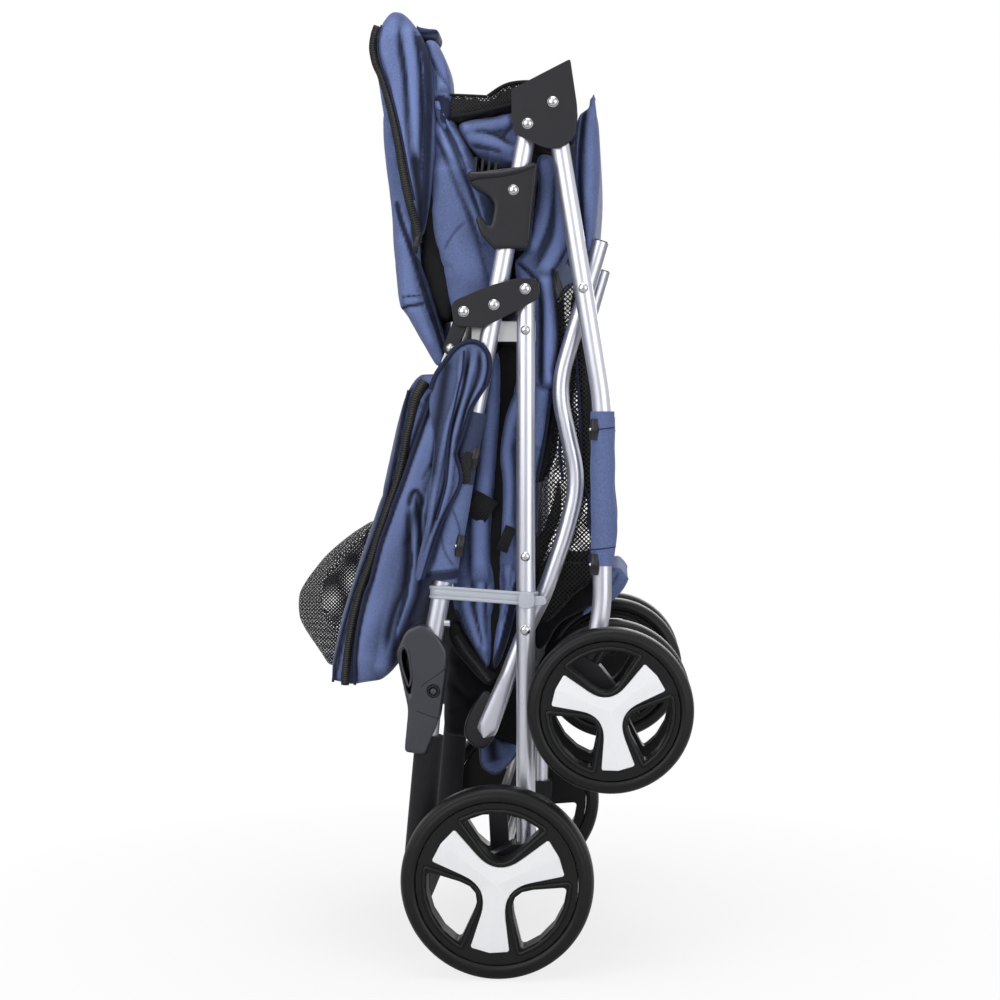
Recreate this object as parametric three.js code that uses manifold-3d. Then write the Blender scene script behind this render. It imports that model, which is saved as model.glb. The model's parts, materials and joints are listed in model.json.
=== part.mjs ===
// Folding four-wheel pet stroller, standing folded on its rear wheels.
// Millimetres, +X towards the front, +Y to the stroller's left, +Z up, floor at Z = 0.
// Every hinge of the fold runs along Y. The pose modelled is the folded one.

import * as THREE from 'three';
import { mergeVertices } from 'three/addons/utils/BufferGeometryUtils.js';
import Module from 'manifold-3d';

const wasm = await Module();
wasm.setup();

// ---------------------------------------------------------------- driving dimensions

const clearance = 0.3;            // between pieces that touch
const side_y = 165;               // plane of the leg and handle tubes, from the middle
const floor_tube_y = 146.5;       // plane of the floor tubes, inside the legs
const wheel_y = 205;              // plane of the outer wheels

const tube_radius = 9;
const tube_wall = 1.2;
const floor_tube_radius = 8;
const grip_radius = 13.3;

const soft_half_width = floor_tube_y - floor_tube_radius - clearance;   // cloth on the floor tubes
const tube_inner_y = side_y - tube_radius - clearance;                  // cloth on the side tubes

const axle_x = 9;
const rear_wheel_radius = 90;
const rear_wheel_width = 28;
const front_wheel_radius = 77;
const front_wheel_width = 25;
const twin_spacing = 80;          // between the two wheels of one front caster
const axle_radius = 5;

const leg_offset = 24.5;          // rear leg in front of the rear axle
const floor_pivot_z = 321;        // floor tube on the rear leg
const leg_length_below_pivot = 319.6;   // from the link plate's pivot to the floor tube's
const top_pivot_z = floor_pivot_z + leg_length_below_pivot;
const handle_arm = 153.6;         // link pivot to hinge plate pivot
const handle_arm_angle = 89.2;    // its direction from the X axis, in degrees
const front_arm = 161.3;          // hinge plate pivot to front leg pivot
const floor_arm_lead = 5.4;       // of the floor arm over the rear leg below its top pivot
const floor_arm = leg_length_below_pivot + floor_arm_lead;   // floor tube pivot to front leg pivot
const handle_slope = 0.187;       // X per Z along the handle tube

const basket_half_width = 105;    // basket, inside the twin front wheels
const front_panel_half_width = 130;
const hinge_plate_half = tube_radius + 5;   // half the hinge plate's thickness
const cabin_gap = 3;              // from the hinge plates to the cabin cloth between them
const cabin_half_width = side_y - hinge_plate_half - cabin_gap;
const slider_half = tube_radius + 4;        // half the latch slider's thickness
const hood_gap = 2;               // from the latch sliders to the hood between them
const hood_half_width = side_y - slider_half - hood_gap;
const pocket_half_width = 70;

// ---------------------------------------------------------------- pivots, as [x, z]

const rad = Math.PI / 180;
const rear_hub = [axle_x, rear_wheel_radius];
const leg_x = axle_x + leg_offset;
const link_pivot = [leg_x, top_pivot_z];
const floor_pivot = [leg_x, floor_pivot_z];
const hinge_pivot = [
  link_pivot[0] + handle_arm * Math.cos(handle_arm_angle * rad),
  link_pivot[1] + handle_arm * Math.sin(handle_arm_angle * rad),
];

// The point at two given distances from two centres, on the right of the line between them.
function meet(a, ra, b, rb) {
  const dx = b[0] - a[0];
  const dz = b[1] - a[1];
  const gap = Math.hypot(dx, dz);
  const along = (gap * gap + ra * ra - rb * rb) / (2 * gap);
  const across = Math.sqrt(ra * ra - along * along);
  return [a[0] + (dx * along + dz * across) / gap, a[1] + (dz * along - dx * across) / gap];
}

const leg_pivot = meet(floor_pivot, floor_arm, hinge_pivot, front_arm);
const on = (from, x, z) => [from[0] + x, from[1] + z];
const handle_at = (z) => [hinge_pivot[0] + (z - hinge_pivot[1]) * handle_slope, z];
const handle_rivet = handle_at(link_pivot[1] - 14.6);
const bow_rivet = on(link_pivot, -57.8, -20.8);
const canopy_pivot = on(bow_rivet, -12.9, -33.9);

// ---------------------------------------------------------------- materials

const paint = (color, roughness, metalness) =>
  new THREE.MeshStandardMaterial({ color, roughness, metalness });
const silver_paint = paint(0xb4b6ba, 0.35, 0.6);
const steel = paint(0xc8c9cc, 0.25, 1.0);
const black_plastic = paint(0x1b1c1e, 0.45, 0.0);
const rubber = paint(0x161617, 0.75, 0.0);
const white_plastic = paint(0xe9ebf3, 0.35, 0.0);
const foam = paint(0x202125, 0.9, 0.0);
const navy_cloth = paint(0x3c5283, 0.9, 0.0);
const black_mesh = paint(0x17181b, 0.9, 0.0);

// ---------------------------------------------------------------- solids

// Points are merged so that the surface closes, and faces are turned outward.
function welded(geometry) {
  const plain = geometry.index ? geometry.toNonIndexed() : geometry.clone();
  plain.deleteAttribute('normal');
  plain.deleteAttribute('uv');
  return mergeVertices(plain, 1e-4);
}

function solid(geometry) {
  const merged = welded(geometry);
  const points = merged.attributes.position.array;
  const faces = Uint32Array.from(merged.index.array);
  let volume = 0;
  const a = new THREE.Vector3();
  const b = new THREE.Vector3();
  const c = new THREE.Vector3();
  for (let i = 0; i < faces.length; i += 3) {
    a.fromArray(points, 3 * faces[i]);
    b.fromArray(points, 3 * faces[i + 1]);
    c.fromArray(points, 3 * faces[i + 2]);
    volume += a.dot(b.cross(c));
  }
  if (volume < 0) {
    for (let i = 0; i < faces.length; i += 3) {
      [faces[i], faces[i + 1]] = [faces[i + 1], faces[i]];
    }
  }
  const mesh = new wasm.Mesh({
    numProp: 3,
    vertProperties: Float32Array.from(points),
    triVerts: faces,
  });
  return new wasm.Manifold(mesh);
}

// The corner radius of a many-sided bore whose flats still clear a round shaft.
const bore = (shaft, sides) => (shaft + clearance) / Math.cos(Math.PI / sides);

const joined = (first, ...others) => others.reduce((sum, next) => sum.add(next), first);
const cut = (body, ...tools) => tools.reduce((rest, tool) => rest.subtract(tool), body);

function geometryOf(body) {
  const mesh = body.getMesh();
  const geometry = new THREE.BufferGeometry();
  geometry.setAttribute('position', new THREE.BufferAttribute(Float32Array.from(mesh.vertProperties), 3));
  geometry.setIndex(Array.from(mesh.triVerts));
  return geometry;
}

const group = new THREE.Group();

function add(name, body, material) {
  const mesh = new THREE.Mesh(geometryOf(body), material);
  mesh.name = name;
  group.add(mesh);
}

// The stroller's right side is at -Y. A piece is made there and mirrored for the left.
const mirrored = (body) => body.mirror([0, 1, 0]);

function addPair(name, body, material) {
  add(`${name}_right`, body, material);
  add(`${name}_left`, mirrored(body), material);
}

// An outline in X and Z, filled between two distances from the middle plane on the right side.
function plate(outline, near, far, curve_steps = 6) {
  const shape = outline instanceof THREE.Shape
    ? outline
    : new THREE.Shape(outline.map(([x, z]) => new THREE.Vector2(x, z)));
  const geometry = new THREE.ExtrudeGeometry(shape, {
    depth: far - near,
    bevelEnabled: false,
    curveSegments: curve_steps,
  });
  geometry.rotateX(Math.PI / 2);
  geometry.translate(0, -near, 0);
  return solid(geometry);
}

// A round bar along Y, at [x, z], between two distances from the middle plane on the right side.
function bar(centre, radius, near, far, sides = 12) {
  const geometry = new THREE.CylinderGeometry(radius, radius, far - near, sides);
  geometry.translate(centre[0], -(near + far) / 2, centre[1]);
  return solid(geometry);
}

// A round bar between two points of the X-Z plane, at a distance y from the middle.
function rod(from, to, radius, y, sides = 12) {
  const start = new THREE.Vector3(from[0], -y, from[1]);
  const end = new THREE.Vector3(to[0], -y, to[1]);
  const span = new THREE.Vector3().subVectors(end, start);
  const geometry = new THREE.CylinderGeometry(radius, radius, span.length(), sides);
  const turn = new THREE.Quaternion().setFromUnitVectors(
    new THREE.Vector3(0, 1, 0),
    span.clone().normalize(),
  );
  geometry.applyQuaternion(turn);
  geometry.translate(...start.add(end).multiplyScalar(0.5).toArray());
  return solid(geometry);
}

function pipe(from, to, radius, wall, y, sides = 12) {
  const dx = (to[0] - from[0]) * 0.01;
  const dz = (to[1] - from[1]) * 0.01;
  const inside = rod(on(from, -dx, -dz), on(to, dx, dz), radius - wall, y, sides);
  return rod(from, to, radius, y, sides).subtract(inside);
}

// A path of straight runs joined by rounded bends. Its parameter steps from node to node,
// so a swept tube gets rows of faces only at its ends and along its bends.
class BentPath extends THREE.Curve {
  constructor(points, bend, bend_steps = 3) {
    super();
    const corners = points.map((p) => new THREE.Vector3(...p));
    this.nodes = [corners[0]];
    for (let i = 1; i < corners.length - 1; i += 1) {
      const corner = corners[i];
      const back = new THREE.Vector3().subVectors(corners[i - 1], corner);
      const ahead = new THREE.Vector3().subVectors(corners[i + 1], corner);
      const reach = Math.min(bend, back.length() / 2.1, ahead.length() / 2.1);
      const enter = corner.clone().addScaledVector(back.normalize(), reach);
      const leave = corner.clone().addScaledVector(ahead.normalize(), reach);
      const arc = new THREE.QuadraticBezierCurve3(enter, corner, leave);
      this.nodes.push(...arc.getPoints(bend_steps));
    }
    this.nodes.push(corners[corners.length - 1]);
  }

  getPoint(t, target = new THREE.Vector3()) {
    const place = Math.min(t, 1) * (this.nodes.length - 1);
    const i = Math.min(Math.floor(place), this.nodes.length - 2);
    return target.lerpVectors(this.nodes[i], this.nodes[i + 1], place - i);
  }

  getUtoTmapping(u) {
    return u;
  }
}

function ringShape(outer, inner) {
  const shape = new THREE.Shape();
  shape.absarc(0, 0, outer, 0, 2 * Math.PI, false);
  if (inner > 0) {
    const hole = new THREE.Path();
    hole.absarc(0, 0, inner, 0, 2 * Math.PI, true);
    shape.holes.push(hole);
  }
  return shape;
}

function sweep(points, bend, outer, inner, sides = 6) {
  const path = new BentPath(points, bend);
  const geometry = new THREE.ExtrudeGeometry(ringShape(outer, inner), {
    extrudePath: path,
    steps: path.nodes.length - 1,
    curveSegments: sides,
    bevelEnabled: false,
  });
  return solid(geometry);
}

// A ring of revolution about Y from its profile of [radius, offset along Y], with a flat at
// the bottom.
function turned(profile, centre, y, sides) {
  const points = profile.map(([r, offset]) => new THREE.Vector2(r, offset));
  points.push(points[0].clone());
  const geometry = new THREE.LatheGeometry(points, sides, Math.PI / sides);
  geometry.translate(centre[0], -y, centre[1]);
  return solid(geometry);
}

// A flat arm with round ends between two points, as an outline.
function armShape(from, to, radius) {
  const angle = Math.atan2(to[1] - from[1], to[0] - from[0]);
  const shape = new THREE.Shape();
  shape.absarc(from[0], from[1], radius, angle + Math.PI / 2, angle + 1.5 * Math.PI, false);
  shape.absarc(to[0], to[1], radius, angle - Math.PI / 2, angle + Math.PI / 2, false);
  return shape;
}

// ---------------------------------------------------------------- wheels

// A closed outline through corners [x, z, rounding], each rounded by its own setback.
function roundedOutline(corners, Kind = THREE.Shape) {
  const outline = new Kind();
  const count = corners.length;
  corners.forEach(([x, z, setback], i) => {
    const before = corners[(i + count - 1) % count];
    const after = corners[(i + 1) % count];
    const back = Math.hypot(before[0] - x, before[1] - z);
    const ahead = Math.hypot(after[0] - x, after[1] - z);
    const enter = [x + ((before[0] - x) * setback) / back, z + ((before[1] - z) * setback) / back];
    const leave = [x + ((after[0] - x) * setback) / ahead, z + ((after[1] - z) * setback) / ahead];
    if (i === 0) outline.moveTo(...enter);
    else outline.lineTo(...enter);
    if (setback > 0) outline.quadraticCurveTo(x, z, ...leave);
  });
  outline.closePath();
  return outline;
}

// Where a straight edge that leaves the wheel's middle line at the apex meets a circle.
// Distances are shares of the wheel radius; the result is an angle from the middle line.
function edgeReach(apex, half_angle, circle) {
  const lean = apex * Math.sin(half_angle);
  const along = -apex * Math.cos(half_angle) + Math.sqrt(circle * circle - lean * lean);
  return Math.asin((along * Math.sin(half_angle)) / circle);
}

const window_edge = { apex: 0.133, half_angle: 40.6 * rad, round: 0.27, circle: 0.727, corner: 0.06 };
const cover_edge = { apex: 0.069, half_angle: 47.6 * rad, round: 0.34, circle: 0.705, corner: 0.02 };
const spoke_pitch = (2 * Math.PI) / 3;
const polar = (centre, r, angle) => on(centre, r * Math.cos(angle), r * Math.sin(angle));

function windowOutline(centre, radius, middle) {
  const edge = window_edge;
  const spread = edgeReach(edge.apex, edge.half_angle, edge.circle);
  const corners = [[...polar(centre, edge.apex * radius, middle), edge.round * radius]];
  const arc_steps = 4;
  for (let i = 0; i <= arc_steps; i += 1) {
    const angle = middle - spread + (2 * spread * i) / arc_steps;
    const end = i === 0 || i === arc_steps;
    corners.push([...polar(centre, edge.circle * radius, angle), end ? edge.corner * radius : 0]);
  }
  return roundedOutline(corners, THREE.Path);
}

function coverOutline(centre, radius, first_spoke) {
  const edge = cover_edge;
  const spread = spoke_pitch / 2 - edgeReach(edge.apex, edge.half_angle, edge.circle);
  const corners = [];
  for (let k = 0; k < 3; k += 1) {
    const spoke = first_spoke + k * spoke_pitch;
    corners.push([...polar(centre, edge.circle * radius, spoke - spread), edge.corner * radius]);
    corners.push([...polar(centre, edge.circle * radius, spoke), 0]);
    corners.push([...polar(centre, edge.circle * radius, spoke + spread), edge.corner * radius]);
    corners.push([...polar(centre, edge.apex * radius, spoke + spoke_pitch / 2), edge.round * radius]);
  }
  return roundedOutline(corners);
}

const wheel_sides = 32;
const rim_share = 0.84;           // where tyre and rim meet
const rim_width_share = 0.8;      // of the tyre width
const cover_thickness = 2.5;

function tyre(centre, radius, width, y) {
  const seat = rim_share * radius;
  const half = width / 2;
  const crown = radius / Math.cos(Math.PI / wheel_sides);
  const profile = [
    [seat, -0.86 * half],
    [seat + 0.35 * (radius - seat), -half],
    [crown, -0.45 * half],
    [crown, 0.45 * half],
    [seat + 0.35 * (radius - seat), half],
    [seat, 0.86 * half],
  ];
  return turned(profile, centre, y, wheel_sides);
}

// Rim disc with three windows and a hub that runs on the axle; the hub's inner end is longer.
function rim(centre, radius, width, y, first_spoke, hub_inner, hub_outer) {
  const rim_radius = rim_share * radius - clearance;
  const edge = Array.from({ length: wheel_sides }, (_, i) =>
    polar(centre, rim_radius, (2 * Math.PI * (i + 0.5)) / wheel_sides));
  const shape = new THREE.Shape(edge.map(([x, z]) => new THREE.Vector2(x, z)));
  for (let k = 0; k < 3; k += 1) {
    const middle = first_spoke + (k + 0.5) * spoke_pitch;
    shape.holes.push(windowOutline(centre, radius, middle));
  }
  const half = (rim_width_share * width) / 2;
  const disc = plate(shape, y - half, y + half, 4);
  const hub = bar(centre, 2.6 * axle_radius, y - hub_inner, y + hub_outer, 16);
  const axle_bore = bar(centre, bore(axle_radius, 12), y - 2 * hub_inner - half, y + half - 3);
  return joined(disc, hub).subtract(axle_bore);
}

function spokeCover(centre, radius, width, y, first_spoke) {
  const face = y + (rim_width_share * width) / 2 + clearance;
  return plate(coverOutline(centre, radius, first_spoke), face, face + cover_thickness, 4);
}

// ---------------------------------------------------------------- rear frame

const foot_bottom = 10;           // the leg ends this far above the axle
const pivot_radius = 3;
const foot_near = side_y - tube_radius - 4;
const foot_far = side_y + tube_radius + 4;

// A bore across a side tube, for a rivet along Y.
const borehole = (at, y = side_y) =>
  bar(at, bore(pivot_radius, 8), y - 2 * tube_radius, y + 2 * tube_radius, 8);

const leg_top = link_pivot[1] + 10;
const rear_leg = cut(
  pipe([leg_x, rear_hub[1] + foot_bottom], [leg_x, leg_top], tube_radius, tube_wall, side_y),
  borehole(link_pivot),
  borehole(floor_pivot),
);
addPair('rear_leg', rear_leg, silver_paint);

const foot_wall = 4;
const foot_grip = 19;             // length of leg tube held in the foot
const foot_outline = roundedOutline([
  [rear_hub[0] - 14, rear_hub[1] - 15, 9],
  [rear_hub[0] + 16, rear_hub[1] - 15, 9],
  [leg_x + tube_radius + foot_wall, rear_hub[1] + 8, 6],
  [leg_x + tube_radius + foot_wall, rear_hub[1] + foot_bottom + foot_grip, 2],
  [leg_x - tube_radius - foot_wall, rear_hub[1] + foot_bottom + foot_grip, 2],
  [rear_hub[0] - 14, rear_hub[1] + 14, 9],
]);
const rear_foot = cut(
  plate(foot_outline, foot_near, foot_far),
  rod([leg_x, rear_hub[1] + foot_bottom - clearance], [leg_x, rear_hub[1] + 120],
    bore(tube_radius, 12), side_y),
  bar(rear_hub, bore(axle_radius, 12), foot_near - 5, foot_far + 5),
);
addPair('rear_foot', rear_foot, black_plastic);

const rim_half = (rim_width_share * rear_wheel_width) / 2;
const rear_hub_inner = wheel_y - foot_far - 2 * clearance;
const axle_end = wheel_y + rim_half - 3 - clearance;
add('rear_axle', bar(rear_hub, axle_radius, -axle_end, axle_end, 12), steel);

// Flat bow between the rear legs: from one leg, round behind the cabin, to the other.
const bow_height = 20;
const bow_thickness = 3;
const bow_z = link_pivot[1] - 38;
const bow_reach = 82;             // how far it stands behind the rear legs
const bow_corner = 30;

function bowLine(inset) {
  const half = side_y - tube_radius - clearance - inset;
  const back = leg_x - bow_reach + inset;
  const soft = 0.3 * bow_corner;
  return [
    [leg_x + tube_radius, -half],
    [back + bow_corner, -half],
    [back + soft, -half + soft],
    [back, -half + bow_corner],
    [back, half - bow_corner],
    [back + soft, half - soft],
    [back + bow_corner, half],
    [leg_x + tube_radius, half],
  ];
}

const bow_plan = [...bowLine(0), ...bowLine(bow_thickness).reverse()];
const bow_geometry = new THREE.ExtrudeGeometry(
  new THREE.Shape(bow_plan.map(([x, y]) => new THREE.Vector2(x, y))),
  { depth: bow_height, bevelEnabled: false },
);
bow_geometry.translate(0, 0, bow_z - bow_height / 2);
add('rear_crossbow', solid(bow_geometry), steel);

const shaft_end = side_y + tube_radius + 3;
const shaft_head = bar(floor_pivot, 5, side_y + tube_radius + clearance, shaft_end, 12);
add(
  'floor_pivot_shaft',
  joined(bar(floor_pivot, pivot_radius, -shaft_end, shaft_end, 8), shaft_head, mirrored(shaft_head)),
  steel,
);

// Parking brake: two arms that swing on the axle, joined by a rod that the foot presses.
const brake_y = foot_near - 1 - 4;
const brake_length = 57;
const brake_arm_radius = 9;
const brake_tip = on(rear_hub, -3, brake_length);
const brake_arm = cut(
  plate(armShape(rear_hub, brake_tip, brake_arm_radius), brake_y - 3, brake_y + 3),
  bar(rear_hub, bore(axle_radius, 12), brake_y - 10, brake_y + 10),
);
const brake_rod = bar(brake_tip, 4.5, -brake_y, brake_y, 10);
add('brake_bar', joined(brake_arm, mirrored(brake_arm), brake_rod), black_plastic);

const rear_spoke = 24.3 * rad;
addPair('rear_tyre', tyre(rear_hub, rear_wheel_radius, rear_wheel_width, wheel_y), rubber);
addPair(
  'rear_rim',
  rim(rear_hub, rear_wheel_radius, rear_wheel_width, wheel_y, rear_spoke, rear_hub_inner, rim_half),
  black_plastic,
);
addPair(
  'rear_spoke_cover',
  spokeCover(rear_hub, rear_wheel_radius, rear_wheel_width, wheel_y, rear_spoke),
  white_plastic,
);

// ---------------------------------------------------------------- handle

const handle_top = handle_at(hinge_pivot[1] + 8);
const corner_top = link_pivot[1] - 316;
const handle_bottom = handle_at(corner_top - 34);
const handle_tube = cut(
  pipe(handle_bottom, handle_top, tube_radius, tube_wall, side_y),
  borehole(hinge_pivot),
  borehole(handle_rivet),
);
addPair('handle_tube', handle_tube, silver_paint);

// Link plate outside the tubes, with its rivets through the handle tube and the rear leg.
const link_near = side_y + tube_radius + clearance;
const link_far = link_near + 5;
const link_radius = 12;
const link_outline = roundedOutline([
  [link_pivot[0] + link_radius + 2, link_pivot[1] - 8, 6],
  [link_pivot[0] + link_radius, link_pivot[1] + 10, 8],
  [link_pivot[0] - 8, link_pivot[1] + 10, 4],
  [handle_rivet[0] - 4, handle_rivet[1] + 18, 8],
  [bow_rivet[0] - link_radius, bow_rivet[1] + 9, 8],
  [bow_rivet[0] - 9, bow_rivet[1] - 14, 8],
  [handle_rivet[0] - 8, handle_rivet[1] - 20, 8],
  [link_pivot[0] - 4, link_pivot[1] - 18, 8],
]);
const tube_inside = side_y - tube_radius - 1;
const link_plate = joined(
  plate(link_outline, link_near, link_far),
  bar(link_pivot, pivot_radius, tube_inside, link_near + 1, 8),
  bar(handle_rivet, pivot_radius, tube_inside, link_near + 1, 8),
  bar(bow_rivet, pivot_radius, side_y + 2, link_near + 1, 8),
);
addPair('link_plate', link_plate, black_plastic);

// Black link that carries the rear canopy's arm, riveted to the link plate.
const canopy_link_half = 4;
const canopy_link = cut(
  plate(armShape(bow_rivet, canopy_pivot, 6.5), side_y - canopy_link_half, link_near - clearance),
  bar(bow_rivet, bore(pivot_radius, 8), side_y, side_y + 20, 8),
  bar(canopy_pivot, bore(pivot_radius, 8), side_y - 20, side_y + 20, 8),
);
addPair('canopy_link', canopy_link, black_plastic);

// Latch slider: a sleeve on the handle tube with a finger hook and a lip.
const slider_at = handle_at(hinge_pivot[1] - 60.3);
const slider_outline = roundedOutline([
  [...on(slider_at, -46, 15.5), 2],
  [...on(slider_at, 12, 22), 2],
  [...on(slider_at, 21, 25), 2],
  [...on(slider_at, 20, 17), 2],
  [...on(slider_at, 12.6, -52), 2],
  [...on(slider_at, 10, -55.5), 1],
  [...on(slider_at, -20, -55.5), 2],
  [...on(slider_at, -33, -42), 4],
  [...on(slider_at, -38, -27), 2],
  [...on(slider_at, -33, -24), 1],
  [...on(slider_at, -24, -37), 5],
  [...on(slider_at, -18, -10), 12],
  [...on(slider_at, -42, 4), 4],
]);
const latch_slider = cut(
  plate(slider_outline, side_y - slider_half, side_y + slider_half),
  rod(handle_at(slider_at[1] - 90), handle_at(slider_at[1] + 90), bore(tube_radius, 16), side_y, 16),
);
addPair('latch_slider', latch_slider, black_plastic);

// Corner housing that joins the side tube to the padded lower handle.
const corner_at = handle_at(corner_top);
const corner_outline = roundedOutline([
  [...on(corner_at, -27, -4), 6],
  [...on(corner_at, -12, 2), 5],
  [...on(corner_at, 3, -9), 4],
  [...on(corner_at, 12, -24), 4],
  [...on(corner_at, 10, -46), 8],
  [...on(corner_at, 4, -90), 8],
  [...on(corner_at, -9, -122), 3],
  [...on(corner_at, -28.5, -119), 4],
  [...on(corner_at, -24.6, -79), 6],
  [...on(corner_at, -36, -25), 4],
]);
const loop_hole = roundedOutline([
  [...on(corner_at, -31.5, -25), 2],
  [...on(corner_at, -27, -20), 3],
  [...on(corner_at, -23, -30), 4],
  [...on(corner_at, -21.5, -50), 4],
  [...on(corner_at, -22.4, -68), 1],
  [...on(corner_at, -24.5, -66), 1],
  [...on(corner_at, -31.5, -36), 3],
]);
const corner_half = grip_radius + 3;
const loop_web = 4;               // left of the housing behind its loop recess
const corner_bolt = on(corner_at, -1, -61);
const corner_bolt_radius = 5.4;
const corner_bolt_depth = 4;
const grip_end = on(corner_at, -3.8, -80);
const grip_corner = on(corner_at, -20.9, -266);
const grip_lean = (grip_corner[0] - grip_end[0]) / (grip_corner[1] - grip_end[1]);
const foam_start = -24.5;         // from the end of the lower tube
const foam_top = on(grip_end, foam_start * grip_lean, foam_start);
const corner_face = side_y + corner_half;
const handle_corner = cut(
  plate(corner_outline, side_y - corner_half, corner_face),
  plate(loop_hole, side_y - corner_half + loop_web, corner_face + 1),
  bar(corner_bolt, corner_bolt_radius, corner_face - corner_bolt_depth, corner_face + 1),
  rod(handle_at(handle_bottom[1] - 1), handle_at(corner_top + 20), bore(tube_radius, 12), side_y),
  rod(on(grip_end, 0, 1), grip_corner, bore(tube_radius, 12), side_y),
  rod(on(foam_top, 0, 1), grip_corner, bore(grip_radius, 12), side_y),
);
addPair('handle_corner', handle_corner, black_plastic);

// Lower handle: a bent steel tube across the stroller in a foam sleeve.
const grip_bend = 60;
const gripRun = (top) => [
  [top[0], -side_y, top[1]],
  [grip_corner[0], -side_y, grip_corner[1]],
  [grip_corner[0], side_y, grip_corner[1]],
  [top[0], side_y, top[1]],
];
add('handle_lower_tube', sweep(gripRun(grip_end), grip_bend, tube_radius, 0), silver_paint);
add(
  'handle_foam_grip',
  sweep(gripRun(foam_top), grip_bend, grip_radius, tube_radius + clearance),
  foam,
);

// ---------------------------------------------------------------- front frame

// Hinge plate: two skins round the tube tops, closed along the front by a wall.
const plate_near = side_y - hinge_plate_half;
const plate_far = side_y + hinge_plate_half;
const plate_skin = 4;
const plate_wall = 5;
const plate_top_left = on(hinge_pivot, -15, 32);
const plate_top_right = on(hinge_pivot, 39.7, 59.4);
const hinge_outline = roundedOutline([
  [...plate_top_left, 2],
  [...plate_top_right, 3],
  [...on(hinge_pivot, 46.3, 15), 4],
  [...on(hinge_pivot, 44.4, -12), 6],
  [...on(hinge_pivot, 33, -23), 8],
  [...on(hinge_pivot, 16, -23), 8],
  [...on(hinge_pivot, -12, -9), 4],
  [...on(hinge_pivot, -15, 6), 4],
]);
const leg_rivet = on(hinge_pivot, 23.6, 19.8);
const plate_open = on(hinge_pivot, 8, 0);
const hinge_hollow = [
  [plate_top_left[0] - 30, hinge_pivot[1] - 40],
  [plate_top_right[0] + 0.5, hinge_pivot[1] - 40],
  [plate_top_right[0] + 0.5, plate_top_right[1] - plate_wall - 2],
  [plate_open[0], plate_top_left[1] + plate_wall],
  [plate_open[0], plate_top_right[1] + 20],
  [plate_top_left[0] - 30, plate_top_right[1] + 20],
];
const hinge_plate = joined(
  cut(
    plate(hinge_outline, plate_near, plate_far),
    plate(hinge_hollow, plate_near + plate_skin, plate_far - plate_skin),
  ),
  bar(hinge_pivot, pivot_radius, plate_near + 1, plate_far - 1, 8),
  bar(leg_rivet, pivot_radius, plate_near + 1, plate_far - 1, 8),
);
addPair('hinge_plate', hinge_plate, black_plastic);

// Front leg: straight from the hinge plate, upright beside the floor tube, bent back at the foot.
const leg_slope = (leg_pivot[0] - leg_rivet[0]) / (leg_pivot[1] - leg_rivet[1]);
const legAt = (z) => [leg_rivet[0] + (z - leg_rivet[1]) * leg_slope, z];
const leg_upper_bend = legAt(leg_pivot[1] - 110);
const caster_lead = 25;           // of the leg's lower bend over the floor tube's pivot
const leg_lower_bend = [leg_upper_bend[0], leg_pivot[1] - (floor_arm - caster_lead)];
const stem_top = on(leg_lower_bend, -8, -38);
const stem_tilt = 28.9 * rad;     // from upright when folded; the stem is upright in use
const stem_down = [-Math.sin(stem_tilt), -Math.cos(stem_tilt)];
const stem_side = [Math.cos(stem_tilt), -Math.sin(stem_tilt)];
const alongStem = (down, side) => on(
  stem_top,
  stem_down[0] * down + stem_side[0] * side,
  stem_down[1] * down + stem_side[1] * side,
);
const leg_end = alongStem(-2, 0);
const in_plane = (points, y) => points.map(([x, z]) => [x, -y, z]);
const leg_line = [legAt(leg_rivet[1] + 18), leg_upper_bend, leg_lower_bend, leg_end];
const front_leg = cut(
  sweep(in_plane(leg_line, side_y), 24, tube_radius, tube_radius - tube_wall),
  borehole(leg_rivet),
  borehole(leg_pivot),
);
addPair('front_leg', front_leg, silver_paint);

const sleeve_top = leg_pivot[1] - 106;
const sleeve_length = 150;
const sleeve_radius = tube_radius + 1.6;
const sleeve_line = [[leg_upper_bend[0], sleeve_top - 16], [leg_upper_bend[0], sleeve_top - sleeve_length]];
const sleeve_bore = rod(on(sleeve_line[0], 0, 9), on(sleeve_line[1], 0, -9), bore(tube_radius, 16),
  side_y, 16);
addPair('leg_sleeve', rod(...sleeve_line, sleeve_radius, side_y, 16).subtract(sleeve_bore), navy_cloth);

const cross_z = leg_lower_bend[1] + 18;
const cross_half = side_y - tube_radius - clearance;
add('front_cross_tube', bar([leg_lower_bend[0], cross_z], 6.5, -cross_half, cross_half), silver_paint);

// Caster: a socket on the leg, a fork block that swivels in it, and twin wheels on one axle.
const socket_radius = 12.5;
const socket_length = 20;
const stem_radius = 5;
const caster_trail = 39.6;
const caster_drop = 38.7;
const socket_top = alongStem(-socket_length / 2 - 2, 0);
const socket_bottom = alongStem(socket_length / 2, 0);
const wheel_hub = alongStem(caster_drop, caster_trail);
const stem_bore = rod(alongStem(-3, 0), alongStem(40, 0), bore(stem_radius, 12), side_y);
const leg_bore = sweep(
  in_plane([legAt(leg_rivet[1]), leg_upper_bend, leg_lower_bend, alongStem(-2 + clearance, 0)], side_y),
  24, bore(tube_radius, 12), 0,
);
const caster_socket = cut(
  rod(socket_top, socket_bottom, socket_radius, side_y, 16),
  leg_bore,
  stem_bore,
);
addPair('caster_socket', caster_socket, black_plastic);

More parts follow.
